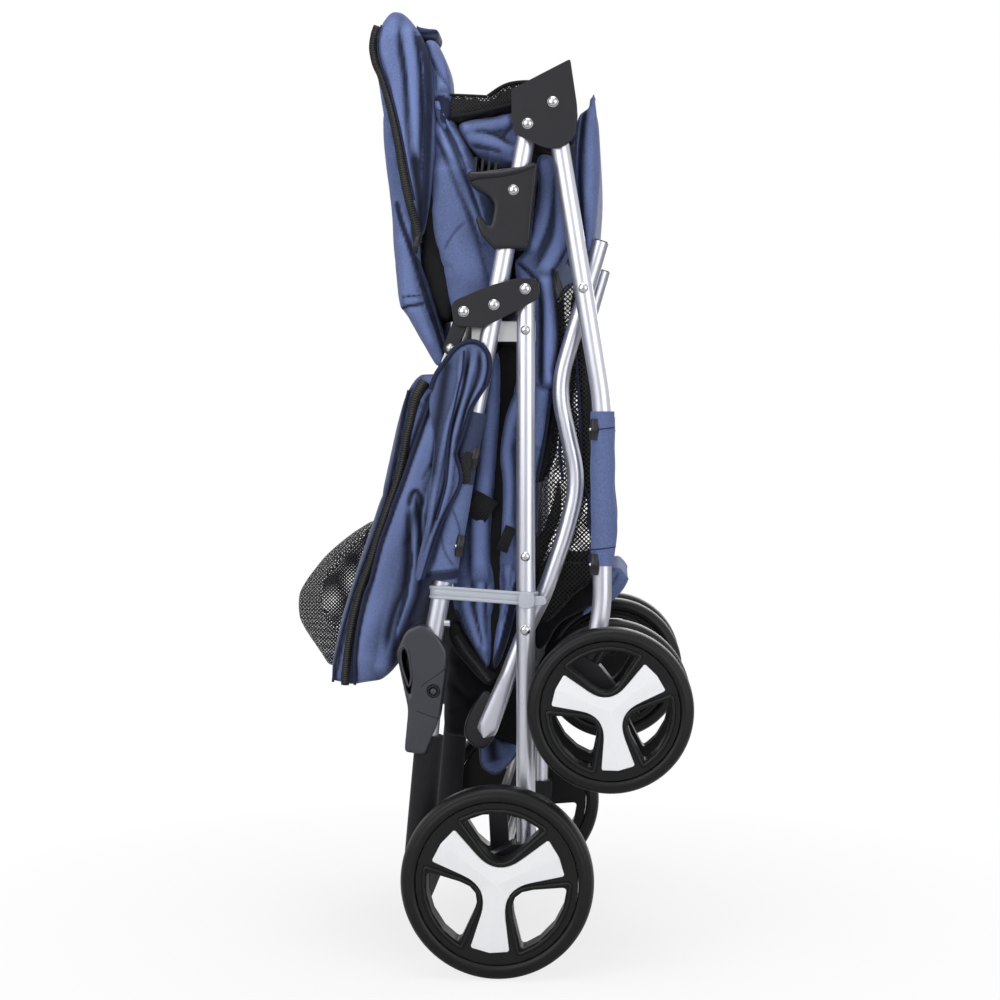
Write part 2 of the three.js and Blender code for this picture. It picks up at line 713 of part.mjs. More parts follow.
const fork_half = 15;
const fork_outline = roundedOutline([
  [...alongStem(socket_length / 2 + clearance, -socket_radius), 2],
  [...alongStem(socket_length / 2 + clearance, socket_radius), 4],
  [...on(wheel_hub, 12, 10), 8],
  [...on(wheel_hub, 10, -12), 8],
  [...on(wheel_hub, -12, -10), 8],
  [...alongStem(socket_length / 2 + 16, -socket_radius), 6],
]);
const fork = joined(
  plate(fork_outline, side_y - fork_half, side_y + fork_half),
  rod(alongStem(-2.5, 0), alongStem(socket_length / 2 + 12, 0), stem_radius, side_y),
);
const twin_near = side_y - twin_spacing / 2;
const twin_far = side_y + twin_spacing / 2;
const front_rim_half = (rim_width_share * front_wheel_width) / 2;
const axle_bore = bar(wheel_hub, bore(axle_radius, 12), side_y - 2 * fork_half, side_y + 2 * fork_half);
addPair('caster_fork', fork.subtract(axle_bore), black_plastic);
const axle_reach = front_rim_half - 3 - clearance;
addPair(
  'front_axle',
  bar(wheel_hub, axle_radius, twin_near - axle_reach, twin_far + axle_reach, 12),
  steel,
);

const front_spoke = 38.1 * rad;
const hub_reach = twin_spacing / 2 - fork_half - 2 * clearance;
const mirrorHalf = (body, y) => body.translate([0, y, 0]).mirror([0, 1, 0]).translate([0, -y, 0]);
const frontTyre = (y) => tyre(wheel_hub, front_wheel_radius, front_wheel_width, y);
const front_rim = rim(
  wheel_hub, front_wheel_radius, front_wheel_width, twin_far, front_spoke, hub_reach, front_rim_half,
);
addPair('front_tyre_outer', frontTyre(twin_far), rubber);
addPair('front_tyre_inner', frontTyre(twin_near), rubber);
addPair('front_rim_outer', front_rim, black_plastic);
addPair('front_rim_inner', mirrorHalf(front_rim, side_y), black_plastic);
addPair(
  'front_spoke_cover',
  spokeCover(wheel_hub, front_wheel_radius, front_wheel_width, twin_far, front_spoke),
  white_plastic,
);

// ---------------------------------------------------------------- floor frame

// Floor tube: flattened end below its pivot, then up beside the front leg with three bends.
const floor_line = [
  on(floor_pivot, -41, -106),
  floor_pivot,
  on(floor_pivot, 16, 30),
  on(floor_pivot, 38, 92),
  on(floor_pivot, 49, 140),
  on(leg_pivot, -25, -92),
  on(leg_pivot, 16, 46),
];
const floor_tube = cut(
  sweep(in_plane(floor_line, floor_tube_y), 26, floor_tube_radius, floor_tube_radius - tube_wall, 5),
  borehole(floor_pivot, floor_tube_y),
);
addPair('floor_tube', floor_tube, silver_paint);

// ---------------------------------------------------------------- cloth

const across = (outline, half) => plate(outline, -half, half);
const from_floor = (points) => points.map(([x, z]) => on(floor_pivot, x, z));
const from_link = (points) => points.map(([x, z]) => on(link_pivot, x, z));

const cabin_window = from_floor([
  [16, 316], [41, 308], [58, 288], [62, 216], [64, 62], [60, 28], [27, 28], [17, 100], [12, 200],
]);
add('cabin_window', across(cabin_window, soft_half_width), black_mesh);

const cabin_base = from_floor([
  [-27, 262], [0, 262], [2, 180], [-6, 60], [-10, -10], [-20, -50], [-46, -18], [-52, 62], [-47, 160],
]);
add('cabin_base', across(cabin_base, soft_half_width), navy_cloth);

const basket = from_floor([
  [-26, -70], [-4, -38], [7, -38], [11, -118], [-9, -130], [-34, -154], [-49, -122], [-82, -114],
  [-84, -92], [-78, -52], [-77, -14], [-62, -10],
]);
const basket_loops = from_floor([[-48, -54], [-29, -54], [-32, -84], [-56, -84]]);
add(
  'basket',
  joined(across(basket, basket_half_width), across(basket_loops, soft_half_width)),
  black_mesh,
);

const cabin_front = from_link([
  [-70, 193], [-22, 193], [27, 180], [58, 176], [66, 187], [69, 138], [69, 108], [46, 108],
  [39, 90], [43, 30], [27, 25], [2, 31], [-5, 84], [-36, 90], [-50, 87], [-70, 122],
]);
add('cabin_front', across(cabin_front, cabin_half_width), navy_cloth);

const front_panel = from_link([
  [47, 84], [66, 84], [67, 76], [62, 30], [55, 22], [49, 56],
]);
const panel_loops = from_link([[44, 62], [60, 62], [60, 80], [44, 80]]);
add(
  'front_panel',
  joined(across(front_panel, front_panel_half_width), across(panel_loops, tube_inner_y)),
  navy_cloth,
);

const hood = from_link([
  [-143, 246], [-128, 265], [-94, 255], [-81, 220], [-70.3, 194], [-70.3, 121], [-54, 82], [-34, 40],
  [-44, 6], [-83, -3], [-104, -16], [-123, -14], [-126, 40], [-129, 86], [-136, 134], [-141, 186],
  [-146, 220],
]);
const hood_loops = from_link([[-46, 2], [-21, 2], [-21, 17], [-42, 20]]);
add('hood', joined(across(hood, hood_half_width), across(hood_loops, tube_inner_y)), navy_cloth);

// Rear canopy with the mesh pocket that bulges behind it.
const canopy = from_link([
  [-78, -70], [-70, -86], [-71, -133], [-75, -181], [-84, -257], [-98, -303], [-130, -312], [-131, -356],
  [-187, -373], [-168, -295], [-148, -219], [-135, -171], [-124, -124], [-113, -85], [-92, -72],
]);
const pocket = from_link([
  [-140, -222], [-185, -248], [-211, -276], [-222, -295], [-220, -314], [-206, -333], [-187, -365],
  [-150, -295],
]);
const canopy_half = tube_inner_y;
add(
  'rear_canopy',
  joined(across(canopy, canopy_half), across(pocket, pocket_half_width)),
  navy_cloth,
);

const canopy_arm_near = canopy_half + clearance;
const canopy_arm_far = canopy_arm_near + 3;
const canopy_arm_tip = on(canopy_pivot, -36, -90);
const canopy_arm = joined(
  plate(armShape(canopy_pivot, canopy_arm_tip, 5), canopy_arm_near, canopy_arm_far),
  bar(canopy_pivot, pivot_radius, canopy_arm_near + 1, link_near - clearance, 8),
);
addPair('canopy_arm', canopy_arm, steel);

export default group;
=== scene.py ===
"""Dress for a folding four-wheel pet stroller: painted tubes, moulded fittings, wheels and
cloth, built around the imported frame. Lengths in the shape code are millimetres, and every
piece is scaled to metres when its mesh is made."""

import json
import math

import bmesh
import bpy
import numpy as np
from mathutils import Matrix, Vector

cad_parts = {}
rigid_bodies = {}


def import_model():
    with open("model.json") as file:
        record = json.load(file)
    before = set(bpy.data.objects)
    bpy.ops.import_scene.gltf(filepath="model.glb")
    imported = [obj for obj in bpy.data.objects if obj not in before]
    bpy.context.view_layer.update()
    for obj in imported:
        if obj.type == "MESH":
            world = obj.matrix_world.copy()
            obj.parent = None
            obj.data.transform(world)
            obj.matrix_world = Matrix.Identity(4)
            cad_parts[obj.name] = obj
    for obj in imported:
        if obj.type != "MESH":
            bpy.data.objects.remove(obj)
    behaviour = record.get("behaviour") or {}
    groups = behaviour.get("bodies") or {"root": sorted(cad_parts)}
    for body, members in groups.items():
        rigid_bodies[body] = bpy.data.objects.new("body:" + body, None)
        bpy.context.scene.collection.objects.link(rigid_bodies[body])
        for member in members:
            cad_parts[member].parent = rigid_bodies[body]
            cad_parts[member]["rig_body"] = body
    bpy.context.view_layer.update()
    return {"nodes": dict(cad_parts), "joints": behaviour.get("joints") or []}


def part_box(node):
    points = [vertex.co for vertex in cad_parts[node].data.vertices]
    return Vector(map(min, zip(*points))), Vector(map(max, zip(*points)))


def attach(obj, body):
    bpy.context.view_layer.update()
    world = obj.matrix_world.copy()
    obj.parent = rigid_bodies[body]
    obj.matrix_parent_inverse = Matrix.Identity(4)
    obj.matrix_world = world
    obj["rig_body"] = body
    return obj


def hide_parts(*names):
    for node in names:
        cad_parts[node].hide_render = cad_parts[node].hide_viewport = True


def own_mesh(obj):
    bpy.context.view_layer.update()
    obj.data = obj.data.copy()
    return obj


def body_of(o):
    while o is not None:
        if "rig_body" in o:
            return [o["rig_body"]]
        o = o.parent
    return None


bl_info = {
    "name": "Folding Stroller Dress",
    "version": (1, 0, 0),
    "blender": (4, 5, 0),
    "location": "3D View > Sidebar > Stroller",
    "description": "Cloth, tubes, wheels and fittings around a packed stroller frame",
    "category": "Object",
}

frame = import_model()

MM = 0.001
TAU = 2 * math.pi
WELD = 1e-6             # points nearer than this are one point, in metres
TINY = 1e-9             # keeps a division away from zero
SHARP_ANGLE = 35        # edges sharper than this many degrees stay sharp
STITCH_PITCH = 5.0
SIDES = {"right": -1, "left": 1}
JOINTS = {joint["name"]: joint for joint in frame["joints"]}


def pivot(joint):
    """The joint's place as [x, z] in millimetres."""
    x, _, z = JOINTS[joint]["pos_m"]
    return np.array([x, z]) / MM


def node_box(node):
    """Lowest and highest corner of a frame node in millimetres."""
    low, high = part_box(node)
    return np.array(low) / MM, np.array(high) / MM


LINK = pivot("fold")
HINGE = pivot("front_fold")
FLOOR = pivot("floor_fold")
CANOPY = pivot("canopy_swing")
REAR_HUB = pivot("brake_swing")
FRONT_HUB = pivot("front_wheel_spin_right")
STEM = pivot("caster_swivel_right")

SIDE_Y = 165.0          # plane of the leg and handle tubes
FLOOR_Y = 146.5         # plane of the floor tubes
WHEEL_Y = 205           # plane of the rear and the outer front wheels
INNER_WHEEL_Y = 125
REAR_WHEEL = (90.0, 28.0)       # radius and width
FRONT_WHEEL = (77.0, 25.0)
REAR_TURN = 24.3        # turn of a wheel's first spoke, in degrees
FRONT_TURN = 38.1
RIVET_HEIGHT = 1.9
TUBE_R = 9.0
FLOOR_R = 8.0
LINK_FACE = 179.3       # outer face of the link plate
PLATE_FACE = 179.0      # outer face of the hinge plate
SLIDER_FACE = 178.0     # outer face of the latch slider
TUBE_FACE = 174.0       # outer side of the leg and handle tubes
HANDLE_SLOPE = 0.187
FLOOR_ARM = 325.0       # from the floor tube's pivot to the front leg's
FRONT_ARM = 161.3       # from the hinge plate's pivot to the front leg's


def link(*points):
    """Points given from the link pivot, as [x, z]."""
    return LINK + np.array(points, float)


def floor(*points):
    """Points given from the floor tube's pivot, as [x, z]."""
    return FLOOR + np.array(points, float)


def handle_at(z):
    """The handle tube's line at a height."""
    return np.array([HINGE[0] + (z - HINGE[1]) * HANDLE_SLOPE, z])


def meet(a, ra, b, rb):
    """The point at two distances from two centres, on the right of the line between them."""
    gap = np.hypot(*(b - a))
    along = (gap ** 2 + ra ** 2 - rb ** 2) / (2 * gap)
    across = math.sqrt(ra ** 2 - along ** 2)
    step = (b - a) / gap
    return a + step * along + np.array([step[1], -step[0]]) * across


LEG_PIVOT = meet(FLOOR, FLOOR_ARM, HINGE, FRONT_ARM)
LEG_RIVET = HINGE + [23.6, 19.8]
HANDLE_RIVET = handle_at(LINK[1] - 14.6)
BOW_RIVET = LINK + [-57.8, -20.8]
SLIDER = handle_at(HINGE[1] - 60.3)
CORNER = handle_at(LINK[1] - 316)


# ---------------------------------------------------------------- settings


class StrollerSettings(bpy.types.PropertyGroup):
    """Sizes and colours that a user would change."""

    cloth_colour: bpy.props.FloatVectorProperty(
        name="Cloth colour", description="Colour of the polyester cloth", subtype="COLOR",
        size=3, min=0, max=1, default=(0.112, 0.150, 0.310))
    trim_colour: bpy.props.FloatVectorProperty(
        name="Trim colour", description="Colour of piping and hems", subtype="COLOR",
        size=3, min=0, max=1, default=(0.016, 0.021, 0.055))
    tube_colour: bpy.props.FloatVectorProperty(
        name="Tube colour", description="Colour of the painted tubes", subtype="COLOR",
        size=3, min=0, max=1, default=(0.56, 0.57, 0.64))
    cover_colour: bpy.props.FloatVectorProperty(
        name="Wheel cover colour", description="Colour of the spoke covers", subtype="COLOR",
        size=3, min=0, max=1, default=(0.86, 0.88, 0.94))
    thread_pitch: bpy.props.FloatProperty(
        name="Thread pitch", description="Distance between two threads of the cloth",
        subtype="DISTANCE", default=0.0009, min=0.0003, max=0.003)
    net_pitch: bpy.props.FloatProperty(
        name="Net pitch", description="Distance between two holes of the mesh windows",
        subtype="DISTANCE", default=0.0045, min=0.001, max=0.01)
    cloth_grain: bpy.props.FloatProperty(
        name="Cloth grain", description="Face size of the simulated cloth",
        subtype="DISTANCE", default=0.0045, min=0.003, max=0.02)
    swell_steps: bpy.props.IntProperty(
        name="Swell steps", description="Frames of cloth simulation", default=10, min=0, max=40)


def settings():
    """The sizes and colours, kept on the scene."""
    return bpy.context.scene.stroller


# ---------------------------------------------------------------- meshes


def grid_faces(rows, cols, close_rows=False, close_cols=False):
    """Quads of a grid of points, rows by cols, closed round either way on request."""
    i = np.arange(rows if close_rows else rows - 1)[:, None]
    j = np.arange(cols if close_cols else cols - 1)[None, :]
    i2, j2 = (i + 1) % rows, (j + 1) % cols
    quads = np.stack([i * cols + j, i * cols + j2, i2 * cols + j2, i2 * cols + j], -1)
    return quads.reshape(-1, 4).tolist()


def capped_faces(rows, cols):
    """Quads of a grid closed round its rows, with one face over each end."""
    faces = grid_faces(rows, cols, close_cols=True)
    faces.append(list(range(cols)))
    faces.append([(rows - 1) * cols + k for k in reversed(range(cols))])
    return faces


def make(name, points, faces, finish, body, smooth=True, outward=True, soft_angle=None):
    """A piece from points in millimetres, scaled to metres, riding on a body."""
    mesh = bpy.data.meshes.new(name)
    mesh.from_pydata((np.asarray(points, float).reshape(-1, 3) * MM).tolist(), [], faces)
    mesh.update()
    bm = bmesh.new()
    bm.from_mesh(mesh)
    bmesh.ops.remove_doubles(bm, verts=bm.verts, dist=WELD)
    if outward:
        bmesh.ops.recalc_face_normals(bm, faces=bm.faces)
    bm.to_mesh(mesh)
    bm.free()
    piece = bpy.data.objects.new(name, mesh)
    bpy.context.scene.collection.objects.link(piece)
    mesh.materials.append(finish)
    if smooth:
        mesh.shade_smooth()
        if soft_angle:
            mesh.set_sharp_from_angle(angle=math.radians(soft_angle))
    if body:
        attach(piece, body)
    return piece


def bent(points, bend, steps=8):
    """A polyline whose inner corners are rounded by quadratic arcs of the given setback."""
    points = np.asarray(points, float)
    out = [points[:1]]
    t = np.linspace(0, 1, steps + 1)[:, None]
    for before, corner, after in zip(points[:-2], points[1:-1], points[2:]):
        back, ahead = before - corner, after - corner
        reach = min(bend, np.linalg.norm(back) / 2.1, np.linalg.norm(ahead) / 2.1)
        enter = corner + back / np.linalg.norm(back) * reach
        leave = corner + ahead / np.linalg.norm(ahead) * reach
        out.append((1 - t) ** 2 * enter + 2 * t * (1 - t) * corner + t ** 2 * leave)
    return np.vstack(out + [points[-1:]])


def flowing(points, count, closed=False):
    """A Catmull-Rom curve through the points, sampled at even steps of its length."""
    points = np.asarray(points, float)
    if closed:
        p = np.vstack([points[-1:], points, points[:2]])
    else:
        p = np.vstack([2 * points[:1] - points[1:2], points, 2 * points[-1:] - points[-2:-1]])
    t = np.linspace(0, 1, 12, endpoint=False)[None, :, None]
    a, b, c, d = (p[k:len(p) - 3 + k, None, :] for k in range(4))
    curve = 0.5 * (2 * b + (c - a) * t + (2 * a - 5 * b + 4 * c - d) * t ** 2
                   + (3 * b - a - 3 * c + d) * t ** 3)
    curve = curve.reshape(-1, points.shape[1])
    curve = np.vstack([curve, points[:1] if closed else points[-1:]])
    return evened(curve, count, not closed)


def evened(line, count, with_end):
    """A polyline sampled again at even steps of its length."""
    length = run_length(line)
    at = np.linspace(0, length[-1], count, endpoint=with_end)
    return np.stack([np.interp(at, length, line[:, k]) for k in range(line.shape[1])], -1)


def run_length(line):
    """How far along a polyline each of its points lies."""
    return np.r_[0, np.cumsum(np.linalg.norm(np.diff(line, axis=0), axis=1))]


def in_plane(points, y):
    """[x, z] points set at a distance y from the middle plane."""
    points = np.asarray(points, float)
    return np.stack([points[:, 0], np.full(len(points), float(y)), points[:, 1]], -1)


def carried(path, profile, across=(0, 1, 0), closed=False, scale=None):
    """A profile carried along a path. A point is path(i) + u(j) side(i) + v(j) up(i), where up
    is the path's own share of the fixed direction across, and side is up x tangent."""
    path = np.asarray(path, float)
    if closed:
        tangent = np.roll(path, -1, 0) - np.roll(path, 1, 0)
    else:
        tangent = np.gradient(path, axis=0)
    tangent /= np.linalg.norm(tangent, axis=1, keepdims=True)
    up = np.broadcast_to(np.asarray(across, float), path.shape)
    up = up - tangent * np.sum(up * tangent, 1, keepdims=True)
    up = up / np.linalg.norm(up, axis=1, keepdims=True)
    side = np.cross(up, tangent)
    profile = np.asarray(profile, float)[None]
    if scale is not None:
        profile = profile * np.asarray(scale, float).reshape(len(path), 1, -1)
    return path[:, None] + profile[..., :1] * side[:, None] + profile[..., 1:] * up[:, None]


def polar(r, a):
    """The point r cos a, r sin a."""
    return [r * math.cos(a), r * math.sin(a)]


def ring(radius, sides=28):
    """A circle as a profile: radius times cosine and sine of the turn."""
    a = np.arange(sides) * TAU / sides
    return np.stack([np.cos(a), np.sin(a)], -1) * radius


def swept(name, path, profile, finish, body, across=(0, 1, 0), closed=False, scale=None,
          soft_angle=None):
    """A solid made by carrying a closed profile along a path, capped at its ends."""
    points = carried(path, profile, across, closed, scale)
    rows, cols = points.shape[:2]
    if closed:
        faces = grid_faces(rows, cols, close_rows=True, close_cols=True)
    else:
        faces = capped_faces(rows, cols)
    return make(name, points, faces, finish, body, soft_angle=soft_angle)


def corded(name, line, y, radius, finish, body, count=40, sides=8):
    """A round cord along a line in X and Z, at the same distance on the right and the left."""
    for side, sign in SIDES.items():
        path = in_plane(flowing(line, count), sign * y)
        swept(f"{name}_{side}", path, ring(radius, sides), finish, body)


def pipe(name, path, radius, body, **options):
    """A painted tube with a smooth wall and sharp ends."""
    return swept(name, path, ring(radius), finishes()["tube"], body, soft_angle=40, **options)


def turned(profile, centre, y, sides=96):
    """Points of a ring of revolution about Y: (r cos a, y + offset, r sin a) for a profile of
    [r, offset]."""
    a = np.arange(sides)[:, None] * TAU / sides
    r, offset = np.asarray(profile, float).T
    return np.stack([centre[0] + r * np.cos(a), y + offset + 0 * a, centre[1] + r * np.sin(a)], -1)


def lathe(name, profile, centre, y, finish, body, sides=96, soft_angle=SHARP_ANGLE):
    """A closed ring of revolution about a line along Y."""
    points = turned(profile, centre, y, sides)
    faces = grid_faces(sides, len(profile), close_rows=True, close_cols=True)
    return make(name, points, faces, finish, body, soft_angle=soft_angle)


def dome(name, centre, y, side, radius, height, finish, body):
    """A rivet head: a flat flange and a dome, r = R cos t and h = H sin t, closed at its pole."""
    t = np.linspace(0, math.pi / 2, 7)[:-1]
    profile = [[radius, -1.5], [radius, 0.0]]
    profile += [[0.86 * radius * math.cos(a), 0.35 + height * math.sin(a)] for a in t]
    profile = np.array(profile)
    profile[:, 1] *= side
    sides = 24
    rows = turned(profile, centre, y, sides)
    points = np.vstack([rows.reshape(-1, 3),
                        [[centre[0], y + side * (0.35 + height), centre[1]],
                         [centre[0], y - side * 1.5, centre[1]]]])
    cols = len(profile)
    faces = grid_faces(sides, cols, close_rows=True)
    tip, base = sides * cols, sides * cols + 1
    for i in range(sides):
        j = (i + 1) % sides
        faces.append([i * cols + cols - 1, j * cols + cols - 1, tip])
        faces.append([j * cols, i * cols, base])
    return make(name, points, faces, finish, body, soft_angle=50)


def moulded(name, outline, near, far, sign, finish, body, rounding):
    """A plate with rounded edges: a smooth closed outline in X and Z between two distances from
    the middle plane."""
    points, faces = slab(outline, far, rounding, 72, near=near)
    return make(name, points * [1, sign, 1], faces, finish, body, soft_angle=50)


def dressed(node, finish, width, segments=3):
    """A frame node's own shape with its doubles merged and its edges rounded by a bevel."""
    source = frame["nodes"][node]
    bm = bmesh.new()
    bm.from_mesh(source.data)
    bmesh.ops.remove_doubles(bm, verts=bm.verts, dist=WELD)
    bmesh.ops.dissolve_limit(bm, angle_limit=math.radians(0.8), verts=bm.verts, edges=bm.edges)
    mesh = bpy.data.meshes.new("trim_" + node)
    bm.to_mesh(mesh)
    bm.free()
    mesh.materials.clear()
    mesh.materials.append(finish)
    mesh.shade_smooth()
    mesh.set_sharp_from_angle(angle=math.radians(SHARP_ANGLE))
    piece = bpy.data.objects.new("trim_" + node, mesh)
    bpy.context.scene.collection.objects.link(piece)
    bevel = piece.modifiers.new("rounding", "BEVEL")
    bevel.width = width * MM
    bevel.segments = segments
    bevel.limit_method = "ANGLE"
    bevel.angle_limit = math.radians(SHARP_ANGLE)
    bevel.harden_normals = True
    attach(piece, body_of(source)[0])
    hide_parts(node)
    return piece


# ---------------------------------------------------------------- shader arithmetic


class Signal:
    """A shader socket that takes part in sums; each operator adds one Math node."""

    def __init__(self, finish, socket):
        self.finish = finish
        self.socket = socket

    def _math(self, operation, first, second=None):
        return self.finish.node("ShaderNodeMath", {"operation": operation}, first, second)

    def __add__(self, other):
        return self._math("ADD", self, other)

    __radd__ = __add__

    def __sub__(self, other):
        return self._math("SUBTRACT", self, other)

    def __rsub__(self, other):
        return self._math("SUBTRACT", other, self)

    def __mul__(self, other):
        return self._math("MULTIPLY", self, other)

    __rmul__ = __mul__

    def __gt__(self, other):
        return self._math("GREATER_THAN", self, other)

    def __lt__(self, other):
        return self._math("LESS_THAN", self, other)

    def __abs__(self):
        return self._math("ABSOLUTE", self)

    def sine(self):
        """The sine of this value, in radians."""
        return self._math("SINE", self)

    def clamped(self):
        """This value, held between 0 and 1."""
        return self.finish.node("ShaderNodeClamp", {}, self)


class Finish:
    """A material: its principled shader's fixed sockets, and the nodes that feed the others."""

    def __init__(self, name, **fixed):
        self.material = bpy.data.materials.new(name)
        self.material.use_nodes = True
        self.tree = self.material.node_tree
        self.shader = self.tree.nodes["Principled BSDF"]
        for socket, value in fixed.items():
            title = socket.replace("_", " ").title().replace("Ior", "IOR")
            self.shader.inputs[title].default_value = value
        where = self.tree.nodes.new("ShaderNodeTexCoord")
        self.place = Signal(self, where.outputs["Object"])
        self.facing = Signal(self, where.outputs["Normal"])

    def node(self, kind, options, *inputs, out=0):
        """One node: its options are set first, then its inputs by position or by name."""
        made = self.tree.nodes.new(kind)
        for option, value in options.items():
            setattr(made, option, value)
        for key, value in enumerate(inputs):
            if value is not None:
                self._feed(made.inputs[key], value)
        return Signal(self, made.outputs[out])

    def _feed(self, socket, value):
        if isinstance(value, Signal):
            self.tree.links.new(value.socket, socket)
        else:
            socket.default_value = value

    def parts(self, vector):
        """The X, Y and Z of a vector."""
        split = self.tree.nodes.new("ShaderNodeSeparateXYZ")
        self.tree.links.new(vector.socket, split.inputs[0])
        return [Signal(self, split.outputs[k]) for k in range(3)]

    def noise(self, scale, detail):
        """Soft noise over the piece's own space, about 0 to 1."""
        made = self.tree.nodes.new("ShaderNodeTexNoise")
        self.tree.links.new(self.place.socket, made.inputs["Vector"])
        made.inputs["Scale"].default_value = scale
        made.inputs["Detail"].default_value = detail
        return Signal(self, made.outputs["Fac"])

    def mixed(self, amount, first, second):
        """A colour between two colours."""
        made = self.tree.nodes.new("ShaderNodeMix")
        made.data_type = "RGBA"
        self._feed(made.inputs[0], amount)
        for socket, value in ((made.inputs[6], first), (made.inputs[7], second)):
            self._feed(socket, value if isinstance(value, Signal) else (*value, 1.0))
        return Signal(self, made.outputs[2])

    def feed(self, socket, value):
        """Sets or links one socket of the shader."""
        self._feed(self.shader.inputs[socket], value)

    def toned(self, amount, colour, low, high):
        """Base colour that goes from a darker to a paler tone of one colour."""
        self.feed("Base Color", self.mixed(amount, shade(colour, low), shade(colour, high)))

    def bump(self, height, strength, distance):
        """Turns a height into the shader's normal."""
        made = self.tree.nodes.new("ShaderNodeBump")
        made.inputs["Strength"].default_value = strength
        made.inputs["Distance"].default_value = distance
        self.tree.links.new(height.socket, made.inputs["Height"])
        self.tree.links.new(made.outputs[0], self.shader.inputs["Normal"])

    def attribute(self, name):
        """A value that the mesh keeps for each of its points."""
        made = self.tree.nodes.new("ShaderNodeAttribute")
        made.attribute_name = name
        return Signal(self, made.outputs["Fac"])


def shade(colour, factor):
    """A darker or a lighter tone of a colour."""
    return tuple(min(1.0, c * factor) for c in colour)


def across_cloth(finish):
    """Two lengths that run along a cloth's surface: x or y by which way it faces, and z."""
    x, y, z = finish.parts(finish.place)
    turned_side = abs(finish.parts(finish.facing)[1]) > 0.6
    return x * turned_side + y * (1 - turned_side), z


def cloth_finish(name, colour, trim, contrast=1.0):
    """Plain-weave polyester: crossed threads in relief, a fleck from thread to thread, a soft
    drift of tone, a painted highlight on fold crests and painted shade in fold valleys stored on
    the piece, painted shadow near black in its deep creases, and bound edges in the trim colour
    where the piece stores a band."""
    finish = Finish(name, sheen_weight=0.12 * contrast, sheen_roughness=0.4, specular_ior_level=0.2)
    u, z = across_cloth(finish)
    turns = TAU / (2 * settings().thread_pitch)
    weave = (u * turns).sine() * (z * turns).sine()
    fleck = finish.noise(850, 2.0)
    drift = finish.noise(11, 3.0)
    # fold: painted shade in the piece's valleys and painted highlight on its crests
    fold = finish.attribute("fold")
    tone = (fleck - 0.5) * 0.85 + (drift - 0.5) * 0.4 * contrast + weave * 0.05 + 0.5 + fold * 0.62
    base = finish.mixed(tone.clamped(), shade(colour, 0.34), shade(colour, 1.66))
    base = finish.mixed(finish.attribute("band"), base, trim)
    # depth: painted shadow in deep creases, mixed towards near black
    base = finish.mixed(finish.attribute("depth"), base, shade(trim, 0.35))
    finish.feed("Base Color", base)
    finish.feed("Roughness", drift * 0.15 + 0.66)
    finish.bump(weave * 0.5 + fleck * 0.8, 0.4, 0.0004)
    return finish.material


def net_finish(name, colour, cover, pitch=1.0):
    """Knitted mesh: holes on a slanted lattice, each row set half a hole aside, left open by
    alpha. A hole opens where the product of two slanted sines is large."""
    finish = Finish(name, roughness=0.7, specular_ior_level=0.3)
    u, z = across_cloth(finish)
    turns = math.pi / (settings().net_pitch * pitch)
    lattice = ((u + z) * turns).sine() * ((u - z) * turns).sine()
    thread = abs(lattice)
    finish.feed("Alpha", thread < cover)
    finish.toned(finish.noise(700, 1.0), colour, 0.5, 1.6)
    finish.bump(thread, 0.4, 0.0005)
    return finish.material


def paint_finish(name, colour, metallic=0.8, roughness=0.30, fleck=0.10, coat=0.25):
    """Silver paint: a fine metal fleck, faint scuffs, and a drift in how glossy it is."""
    finish = Finish(name, metallic=metallic, coat_weight=coat, coat_roughness=0.12)
    flakes = finish.noise(2600, 1.0)
    drift = finish.noise(35, 3.0)
    tone = (flakes - 0.5) * fleck * 6 + (drift - 0.5) * 0.3 + 0.5
    finish.toned(tone.clamped(), colour, 0.84, 1.14)
    finish.feed("Roughness", drift * 0.14 + (roughness - 0.07))
    finish.bump(flakes, 0.05, 0.0002)
    return finish.material


def plastic_finish(name, colour, roughness, grain=1500, strength=0.12, wear=0.5, gloss=0.22):
    """Moulded plastic: a fine spark-eroded grain and slightly paler rubbed patches."""
    finish = Finish(name, specular_ior_level=gloss)
    speck = finish.noise(grain, 1.0)
    patch = finish.noise(22, 4.0)
    tone = (patch - 0.5) * wear + 0.5 + (speck - 0.5) * 0.3
    finish.toned(tone.clamped(), colour, 0.75, 1.35)
    finish.feed("Roughness", patch * 0.16 + (roughness - 0.08))
    finish.bump(speck, strength, 0.0003)
    return finish.material


def foam_finish(name, colour):
    """Closed-cell foam: small open pores and a dull skin."""
    finish = Finish(name, roughness=0.7, sheen_weight=0.08, specular_ior_level=0.2)
    pores = finish.node("ShaderNodeTexVoronoi", {"feature": "F1"}, finish.place, None, 900.0)
    patch = finish.noise(30, 3.0)
    finish.toned(patch, colour, 0.7, 1.4)
    finish.bump(pores, 0.3, 0.0004)
    return finish.material


def webbing_finish(name, colour):
    """Woven tape: a basket of short ribs every couple of millimetres."""
    finish = Finish(name, roughness=0.7, sheen_weight=0.04, specular_ior_level=0.2)
    u, z = across_cloth(finish)
    turns = TAU / 0.0034
    ribs = (u * turns).sine() * (z * turns).sine()
    finish.toned((ribs * 0.5 + 0.5).clamped(), colour, 0.4, 2.4)
    finish.bump(ribs, 0.6, 0.0006)
    return finish.material


def zip_finish(name, colour):
    """Zip chain: tape with a coil of teeth, ribbed across by the piece's own length."""
    finish = Finish(name, roughness=0.5, specular_ior_level=0.4)
    teeth = (finish.attribute("along") * (TAU / 0.0022)).sine()
    finish.toned((teeth * 0.5 + 0.5).clamped(), colour, 0.4, 1.7)
    finish.bump(teeth, 0.6, 0.0005)
    return finish.material


FINISHES = {}


